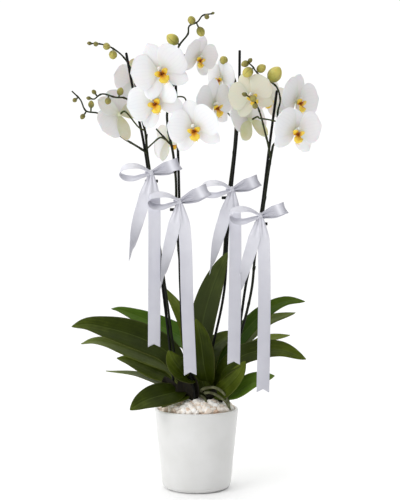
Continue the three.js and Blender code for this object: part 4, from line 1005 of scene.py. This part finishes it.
bundle = (BESIDE + SPIKE_RADIUS + STAKE_RADIUS) / 2 + 0.6  # radius of stake and spike together
front = -KNOT_FRONT
for key, (height, bearing, aside, drop, toward, drift, tip_drift, short_drop, short_toward,
          short_aside, reach_out, reach_up) in BOWS.items():
    node = f"bow_{key}"
    around = on_stake(key, height, bearing, BESIDE / 2)
    place = around + Vector((aside, 0, 0))

    profile = [(0, -KNOT_HALF), *quarter((0, 0), (KNOT_RADIUS, KNOT_HALF), -82, 82, 14),
               (0, KNOT_HALF)]
    points, faces = spun(profile, 40)
    squeezed = []
    for x, y, z in points:
        crease = 1 + 0.07 * math.cos(7 * math.atan2(y, x)) - 0.1 * math.exp(-(z / 1.6) ** 2)
        squeezed.append(Vector((x * crease, y * crease * 0.85 + front, z)) + place)
    # The knot is drawn with painted shade.
    knot = Shape().add(squeezed, faces, pinch=0.6)
    tied = piece(f"{node}_knot", knot, satin, "satin_ribbon", node)

    rows = []
    for i in range(WRAP_STEPS + 1):
        angle = 2 * math.pi * i / WRAP_STEPS - math.pi / 2
        rows.append([])
        for j in range(RIBBON_CELLS + 1):
            v = 2 * j / RIBBON_CELLS - 1
            pleat = math.asin(math.sin(math.pi * PLEATS * v)) * 2 / math.pi
            reach = bundle + 1.6 + 1.0 * pleat
            rows[-1].append(around + Vector((
                reach * math.cos(angle), reach * math.sin(angle), WRAP_HALF * v)))
    # The wrap is drawn with painted shade.
    wrap = plate(Shape(), rows, lambda i, j: RIBBON_THICKNESS, pinch=0.5,
                 side=lambda i, j, back: (2 * j / RIBBON_CELLS - 1) * RIBBON_WIDTH / 2)
    turn_length = 2 * math.pi * (bundle + 0.6)

    # The left loop is painted greyer from its far turn along its lower run, less so near the knot.
    left = ribbon([
        (-2, front - 1, 1), (-16, front - 3, 8), (-32, front - 4, 10.5), (-45, front - 4, 7),
        (-49, front - 4, -1), (-43, front - 4, -8), (-30, front - 3, -9.5), (-14, front - 1, -5),
        (-2, front, -2)], (0, 0.84, 0.54), None, place, 0.28,
        lambda u: 0.6 * smooth((u - 0.4) / 0.12) - 0.4 * smooth((u - 0.6) / 0.15), 0.72)

    wide, tall = 1 + reach_out / 45, 1 + reach_up / 19
    # The right loop is painted grey all along, except a narrow band a little over a third of the
    # way out that is left light as a painted highlight.
    right = ribbon([(x * wide, front + y, z * tall) for x, y, z in (
        (2, -1, 0.5), (15, -5, 6), (30, -11, 12), (42, -14, 17), (45.5, -10, 18), (41, -6, 15),
        (28, -2, 8), (12, 0.5, 2), (2, 0.5, 0))], (-0.42, -0.38, 0.83), None, place, 0.26,
        lambda u: 1.1 - 1.0 * math.exp(-((u - 0.36) / 0.05) ** 2), 0.74)

    # The long tail is painted greyer towards its lower end.
    tail = ribbon([
        (1.5, front - 1, -3), (1.5 + drift * 0.55, front - 2, -36), (drift, front - 3, -72),
        (drift * 0.7 + tip_drift * 0.3, front - 2 - toward * 0.5, -drop * 0.55),
        (tip_drift, front - 2 - toward, -drop)], (1, 0, 0), None, place, 0.125,
        lambda u: 0.1 + 0.8 * smooth((u - 0.05) / 0.6), notch=5, sway=0.6, folded=0.18)

    # The short tail is painted greyer towards its tip.
    short = ribbon([
        (-1.5, front + 0.5, -3), (-0.29 * short_aside, front - 3, -40),
        (-0.68 * short_aside, front - 4 - short_toward / 2, -90),
        (-short_aside, front - short_toward, -short_drop)], (1, -0.2, -0.2), (0.04, 1, 0), place,
        0.24, lambda u: 0.1 + 0.65 * smooth((u - 0.5) / 0.5), slant=14, sway=0.5, folded=0.2)

    for name, (shape, length), held, rests_on, with_pieces in [
            ("wrap", (wrap, turn_length), "gathered", f"stake_{key}_wire", []),
            ("left_loop", left, "folded", tied, []), ("right_loop", right, "folded", tied, []),
            ("long_tail", tail, "hung", tied, [tied]), ("short_tail", short, "hung", tied, [])]:
        made = piece(f"{node}_{name}", shape, satin, "satin_ribbon", node)
        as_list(with_pieces)

# ---- Blooms -------------------------------------------------------------------------------
# The open flowers: three sepals behind, two broad petals before them and the short column in the
# middle. Each is about 92 mm across and hangs on its stalk by the small green cup behind it.

TEPALS = [  # turn from the top, length, width, how far forward it starts, and how it bends back
    ("sepal", 0, 46, 30, -1.2, 0.1), ("sepal", 132, 46, 27, -1.2, 0.1),
    ("sepal", -132, 46, 27, -1.2, 0.1), ("petal", 70, 46, 54, 1.2, 0.06),
    ("petal", -70, 46, 54, 1.2, 0.06),
]
TEPAL_START = 2.4
SEPAL_CUP = 6  # degrees forward, where the petals may come further
TEPAL_THICKNESS = 0.9
GREEN_BACKED = {"03": (0.9, 0.15), "04": (0.2, 0.75), "11": (0.2, 0.9), "14": (0.3, 0.4)}
PALE_BACKED = (0.08, 0.25)  # how green the back of the top sepal is, and of the two lower ones
PETAL_GREEN = 0.06  # and of the petals
PETAL_VEINS = 9
# Blooms 09 and 10 hang in shade: their cream is partly their own colour and partly painted shade.
# The column is drawn a little cream too.
IVORY_AND_SHADE = {"09": 1.0, "10": 0.3}
CURLED_BACK = {"13": 34}  # the length that shows of a curled top sepal
RECEPTACLE = [(0, -RECEPTACLE_BACK), (1.9, -RECEPTACLE_BACK), (2.2, -4.4), (3.4, -2.4),
              (4.6, -0.8), (4.8, 0.8), (3.9, 2.2), (2.0, 2.9), (0, 3.1)]
COLUMN = [(0, 0.8, 1.5), (0, 1.8, 5), (0, 3.0, 8), (0, 4, 10.4)]


def placer(name):
    """A function that turns a point of a flat bloom into its place on the plant."""
    at, face, up, size, _ = BLOOMS[name]
    forward, top = Vector(face).normalized(), Vector(up)
    top = (top - forward * top.dot(forward)).normalized()
    right = top.cross(forward)
    return lambda p: Vector(at) + (right * p[0] + top * p[1] + forward * p[2]) * size


def tepal_half(u, broad):
    """A petal's or sepal's half width along it, as a share of its greatest."""
    foot, swell, close = (0.07, 1.1, 2.5) if broad else (0.16, 0.9, 2.2)
    if u < 0.52:
        return foot + (1 - foot) * math.sin(math.pi / 2 * u / 0.52) ** swell
    return math.sqrt(max(1 - ((u - 0.52) / 0.48) ** close, 0.0008))


def tepal(to_plant, broad, turn, length, width, lift, recurve, cup, dice, green, ivory):
    """One sepal, or one broad petal."""
    steps, cells = (30, 24) if broad else (26, 14)
    out = Vector((math.sin(math.radians(turn)), math.cos(math.radians(turn)), 0))
    across = Vector((out.y, -out.x, 0))
    cup = math.radians((cup if broad else min(cup, SEPAL_CUP)) + dice.uniform(-3, 3))
    phase, ruffle = dice.uniform(0, 6.3), dice.uniform(0.5, 1.0) * (1.4 if broad else 0.7)
    twist = dice.uniform(-0.05, 0.05)
    rounding, doming = (0.05, 0.05) if broad else (0.03, 0.12)
    places = [1 - (1 - k / steps) ** 1.55 for k in range(steps + 1)]  # closer near the tip
    spans = [math.sin(math.pi / 2 * (2 * j / cells - 1)) for j in range(cells + 1)]
    rows = []
    for u in places:
        half = width / 2 * tepal_half(u, broad)
        rows.append([])
        for v in spans:
            reach = TEPAL_START + (length - TEPAL_START) * u * (1 - rounding * v * v * u)
            crease = -0.5 * math.exp(-(half * v / 1.6) ** 2) * (1 - u)
            wave = ruffle * u * u * v * v * math.sin(6 * u + 3.2 * v + phase)
            forward = (lift + math.sin(cup) * reach - recurve * length * u * u
                       - doming * half * v * v + crease + wave + twist * half * v)
            rows[-1].append(to_plant(
                out * reach * math.cos(cup) + across * half * v + Vector((0, 0, forward))))
    return plate(
        Shape(), rows, lambda i, j: TEPAL_THICKNESS * (1.25 - 0.75 * places[i])
        * (1 - 0.5 * abs(2 * j / cells - 1) ** 4),
        along=lambda i, j, back: places[i], across=lambda i, j, back: spans[j],
        green=lambda i, j, back: back * green, ivory=ivory)


# Petal skin: a soft sparkling white that lets a little light through, a breath of green at the
# heart with painted grey shade there too, fine veins that fan out along each petal, and
# yellow-green on the backs of the sepals.
petal_skin, add, shader, spot = finish_named("white_petal", IOR=1.38, Subsurface_Weight=0.15,
                                             Subsurface_Scale=0.004, Sheen_Weight=0.15,
                                             Sheen_Roughness=0.5, Specular_IOR_Level=0.3)
along, across, green, ivory = (add("Attribute", attribute_name=mark, out="Fac")
                               for mark in ("along", "across", "green", "ivory"))
# Painted shade: greyer, as well as greener, towards the heart, and whitest towards the tips.
heart_green_and_shade = add("ValToRGB", along,
             stops=[(0, "cfd4b8"), (0.12, "e2e3dc"), (0.4, "f0f0f2"), (0.8, "f6f6f9")])
# Nine soft veins fan out over a petal, up to 6 mm apart.
fan = add("Math", across, PETAL_VEINS * math.pi, operation="MULTIPLY")
wobble = add("TexNoise", spot, Scale=90, Detail=2)  # 11 mm
fan = add("Math", wobble, 2.2, fan, operation="MULTIPLY_ADD")
ray = add("Math", fan, operation="SINE")
vein = add("MapRange", ray, 0.6, 1, 0, 0.1)
mottle = add("TexNoise", spot, Scale=60, Detail=3)  # 17 mm
spread = add("MapRange", mottle, 0.3, 0.7, 0.6, 1)
amount = add("Math", green, spread, operation="MULTIPLY")
colour = heart_green_and_shade
# The cream mixed in here is also painted shade on blooms 09 and 10.
for share, tint in [(ivory, "e6e5d2"), (vein, "d6d6e0"), (amount, "d3d59a")]:
    colour = add("Mix", share, colour, tint, data_type="RGBA")
pores = add("TexNoise", spot, Scale=1200, Detail=1)  # 0.83 mm
rough = add("MapRange", pores, 0, 1, 0.5, 0.62)
ribs = add("Bump", Height=ray, Strength=0.06, Distance=0.0004)
add(shader, Base_Color=colour, Roughness=rough, Normal=ribs)

dice = random.Random(3)
for name, (*_, size, cup) in BLOOMS.items():
    node, to_plant = f"bloom_{name}", placer(name)
    ivory = IVORY_AND_SHADE.get(name, 0.0)
    top_green, low_green = GREEN_BACKED.get(name, PALE_BACKED)
    for k, (kind, turn, length, width, lift, recurve) in enumerate(TEPALS, 1):
        if turn == 0 and name in CURLED_BACK:
            length, recurve = CURLED_BACK[name], 0.5
        green = PETAL_GREEN if kind == "petal" else low_green if turn else top_green
        one = tepal(to_plant, kind == "petal", turn, length, width, lift, recurve, cup, dice,
                    green, ivory)
        piece(f"{node}_{kind}_{k}", one, petal_skin, "petal_white", node)
    # The cup behind, where the stalk joins, and the column with its anther cap in front.
    points, faces = spun(RECEPTACLE, 28)
    heart = Shape().add([to_plant(point) for point in points], faces, green=0.5, along=0.05,
                        ivory=ivory)
    rod(heart, bent([to_plant(point) for point in COLUMN]),
        lambda u: size * (2.9 - 0.9 * math.sin(math.pi * u) ** 2 + 0.15 * u),
        sides=20, steps=24, along=0.3, ivory=0.4)
    piece(f"{node}_heart", heart, petal_skin, "petal_white", node)

# ---- Lips ---------------------------------------------------------------------------------
# The yellow lip of each flower, one fleshy petal in three lobes: two that stand up beside the
# column, and a middle one that points down, with two fine horns at its tip and a wart at its base.

LIP_ROOT = 3.4
LOBE_HALVES = [(0, 4.2), (0.2, 4.0), (0.42, 6.0), (0.62, 8.6), (0.8, 7.4), (0.94, 3.6), (1, 1.1)]
HORN = [(0.8, -20, 13.5), (2.6, -21.4, 14.4), (3.6, -20.6, 16.2), (3.0, -19, 17.4)]
WART = [(1.1, -4.2, LIP_ROOT), (1.3, -4.8, LIP_ROOT + 4), (1.5, -4.4, LIP_ROOT + 7.2)]

# Lip flesh: egg-yellow at the rims, orange-brown at the heart, with small red-brown freckles.
lip_flesh, add, shader, spot = finish_named("fleshy_lip", IOR=1.42, Subsurface_Weight=0.12,
                                            Subsurface_Scale=0.002, Coat_Weight=0.15)
heart_mark = add("Attribute", attribute_name="heart", out="Fac")
blotch = add("TexNoise", spot, Scale=240, Detail=3)  # 4.2 mm
depth = add("Math", blotch, 0.5, heart_mark, operation="MULTIPLY_ADD")
yolk = add("ValToRGB", depth,
           stops=[(0.25, "f3d548"), (0.55, "e9b928"), (0.8, "cf8a18"), (0.95, "9c5412")])
# Freckles about 0.8 mm wide, 1.5 mm apart.
freckle = add("TexVoronoi", spot, Scale=650)  # 1.5 mm
dot = add("MapRange", freckle, 0.22, 0.32, 0.75, 0)
near = add("MapRange", heart_mark, 0.35, 0.7, 0, 1)
dot = add("Math", dot, near, operation="MULTIPLY")
dotted = add("Mix", dot, yolk, "7c2d10", data_type="RGBA")
rough = add("MapRange", blotch, 0, 1, 0.35, 0.5)
relief = add("Bump", Height=blotch, Strength=0.3, Distance=0.0004)
add(shader, Base_Color=dotted, Roughness=rough, Normal=relief)


def mid_lobe(u, v):
    """A point of the middle lobe: a short neck, then broad barbs, then the tip."""
    k = next(k for k in range(1, len(LOBE_HALVES)) if u <= LOBE_HALVES[k][0])
    (low, low_half), (high, high_half) = LOBE_HALVES[k - 1:k + 1]
    half = low_half + (high_half - low_half) * smooth((u - low) / (high - low))
    swept = 2.4 * abs(v) ** 1.5 * math.exp(-((u - 0.62) / 0.16) ** 2)
    return (half * v, -5 - 15 * u + swept,
            LIP_ROOT + 3 + 11 * math.sin(2.4 * u) - 0.9 * v * v * half / 4)


def side_lobe(u, v, hand):
    """A point of one of the two broad lobes that stand up beside the column."""
    half = 5.4 * math.sin(math.pi * (0.14 + 0.8 * u)) ** 0.7
    spot = Vector((1.8 + 8.8 * u, -5.4 + 4.2 * u ** 1.3, LIP_ROOT + 5 + 6.5 * u - 3 * u * u))
    spot += Vector((-0.3, 0.76, 0.58)).normalized() * half * v + Vector((-0.8, 0, 1.0)) * v * v
    return (hand * spot.x, spot.y, spot.z)


for name, (*_, size, _) in BLOOMS.items():
    to_plant = placer(name)

    def lobe(point, steps, cells, *more):
        return [[to_plant(point(i / steps, 2 * j / cells - 1, *more)) for j in range(cells + 1)]
                for i in range(steps + 1)]

    def strand(hand, path):
        return bent([to_plant((hand * x, y, z)) for x, y, z in path])

    lip = plate(Shape(), lobe(mid_lobe, 30, 14), lambda i, j: 1.1 * (1.1 - 0.5 * i / 30) * size,
                heart=lambda i, j, back: 1 - 1.2 * i / 30 - 0.3 * abs(2 * j / 14 - 1))
    for hand in (-1, 1):
        plate(lip, lobe(side_lobe, 18, 12, hand), lambda i, j: 0.9 * size,
              heart=lambda i, j, back: 0.9 - 1.5 * i / 18)
        rod(lip, strand(hand, HORN), lambda u: size * (0.5 - 0.3 * u), sides=8, steps=16, heart=0.1)
    for hand in (-1, 1):
        rod(lip, strand(hand, WART), lambda u: size * (1.7 - 0.5 * u), steps=10, heart=0.9)
    piece(f"lip_{name}_flesh", lip, lip_flesh, "lip_yellow", f"lip_{name}")

# ---- Studio -------------------------------------------------------------------------------
# A plain pale floor, a white room, a large soft light from the left and a weak one from the
# right, with the camera level and in front of the middle of the plant.

CAMERA_PLACE = (0.0058, -1.6, 0.390)
LENS, FILM_HEIGHT = 69.8, 36

floor_mesh = bpy.data.meshes.new("studio_floor")
floor_mesh.from_pydata([(-6, -4, 0), (6, -4, 0), (6, 8, 0), (-6, 8, 0)], [], [[0, 1, 2, 3]])
floor_paint, add, shader, spot = finish_named("matt_white_paint", Roughness=0.9)
dust = add("TexNoise", spot, Scale=3)  # 330 mm
pale = add("ValToRGB", dust, stops=[(0.2, "fbfbfb"), (0.8, "ffffff")])
add(shader, Base_Color=pale)
floor_mesh.materials.append(floor_paint)
floor = bpy.data.objects.new("studio_floor", floor_mesh)
bpy.context.collection.objects.link(floor)

# The room is white paper behind the plant and overhead, and dimmer towards the camera.
world = bpy.data.worlds.new("studio_room")
world.use_nodes = True
add = partial(put, world)
way = add("TexCoord", out="Generated")
axes = add("SeparateXYZ", way).node.outputs
depth = add("MapRange", axes[1], -0.6, 0.6, 0.24, 1.08)
above = add("MapRange", axes[2], 0.3, 1, 0, 0.9)
both = add("Math", depth, above, operation="ADD")
across = add("MapRange", axes[0], 0.35, 1, 0, 0.55)
both = add("Math", both, across, operation="SUBTRACT")
# What is seen of the room itself is plain white from every side.
seen = add("LightPath", out="Is Camera Ray")
shown = add("Mix", seen, both, 1.05)
add(world.node_tree.nodes["Background"], Color=(1, 1, 1, 1), Strength=shown)
bpy.context.scene.world = world
bpy.context.scene.view_settings.view_transform = "Standard"


def soft_light(name, place, aim, width, power):
    """A square soft box, its place and width in metres and its power in watts."""
    light = bpy.data.lights.new(name, "AREA")
    light.shape, light.size, light.energy = "SQUARE", width, power
    lamp = bpy.data.objects.new(name, light)
    lamp.location = place
    lamp.rotation_euler = (Vector(aim) - Vector(place)).to_track_quat("-Z", "Y").to_euler()
    bpy.context.collection.objects.link(lamp)


soft_light("window_left", (-1.7, -1.6, 1.5), (0, 0, 0.4), 1.4, 22)
soft_light("fill_right", (1.6, -2.0, 1.2), (0, 0, 0.45), 1.2, 1.5)

camera = bpy.data.objects.new("camera", bpy.data.cameras.new("camera"))
camera.location = CAMERA_PLACE
camera.rotation_euler = (math.radians(90), 0, 0)
camera.data.sensor_fit = "VERTICAL"
camera.data.sensor_height = FILM_HEIGHT
camera.data.lens = LENS
bpy.context.collection.objects.link(camera)
bpy.context.scene.camera = camera
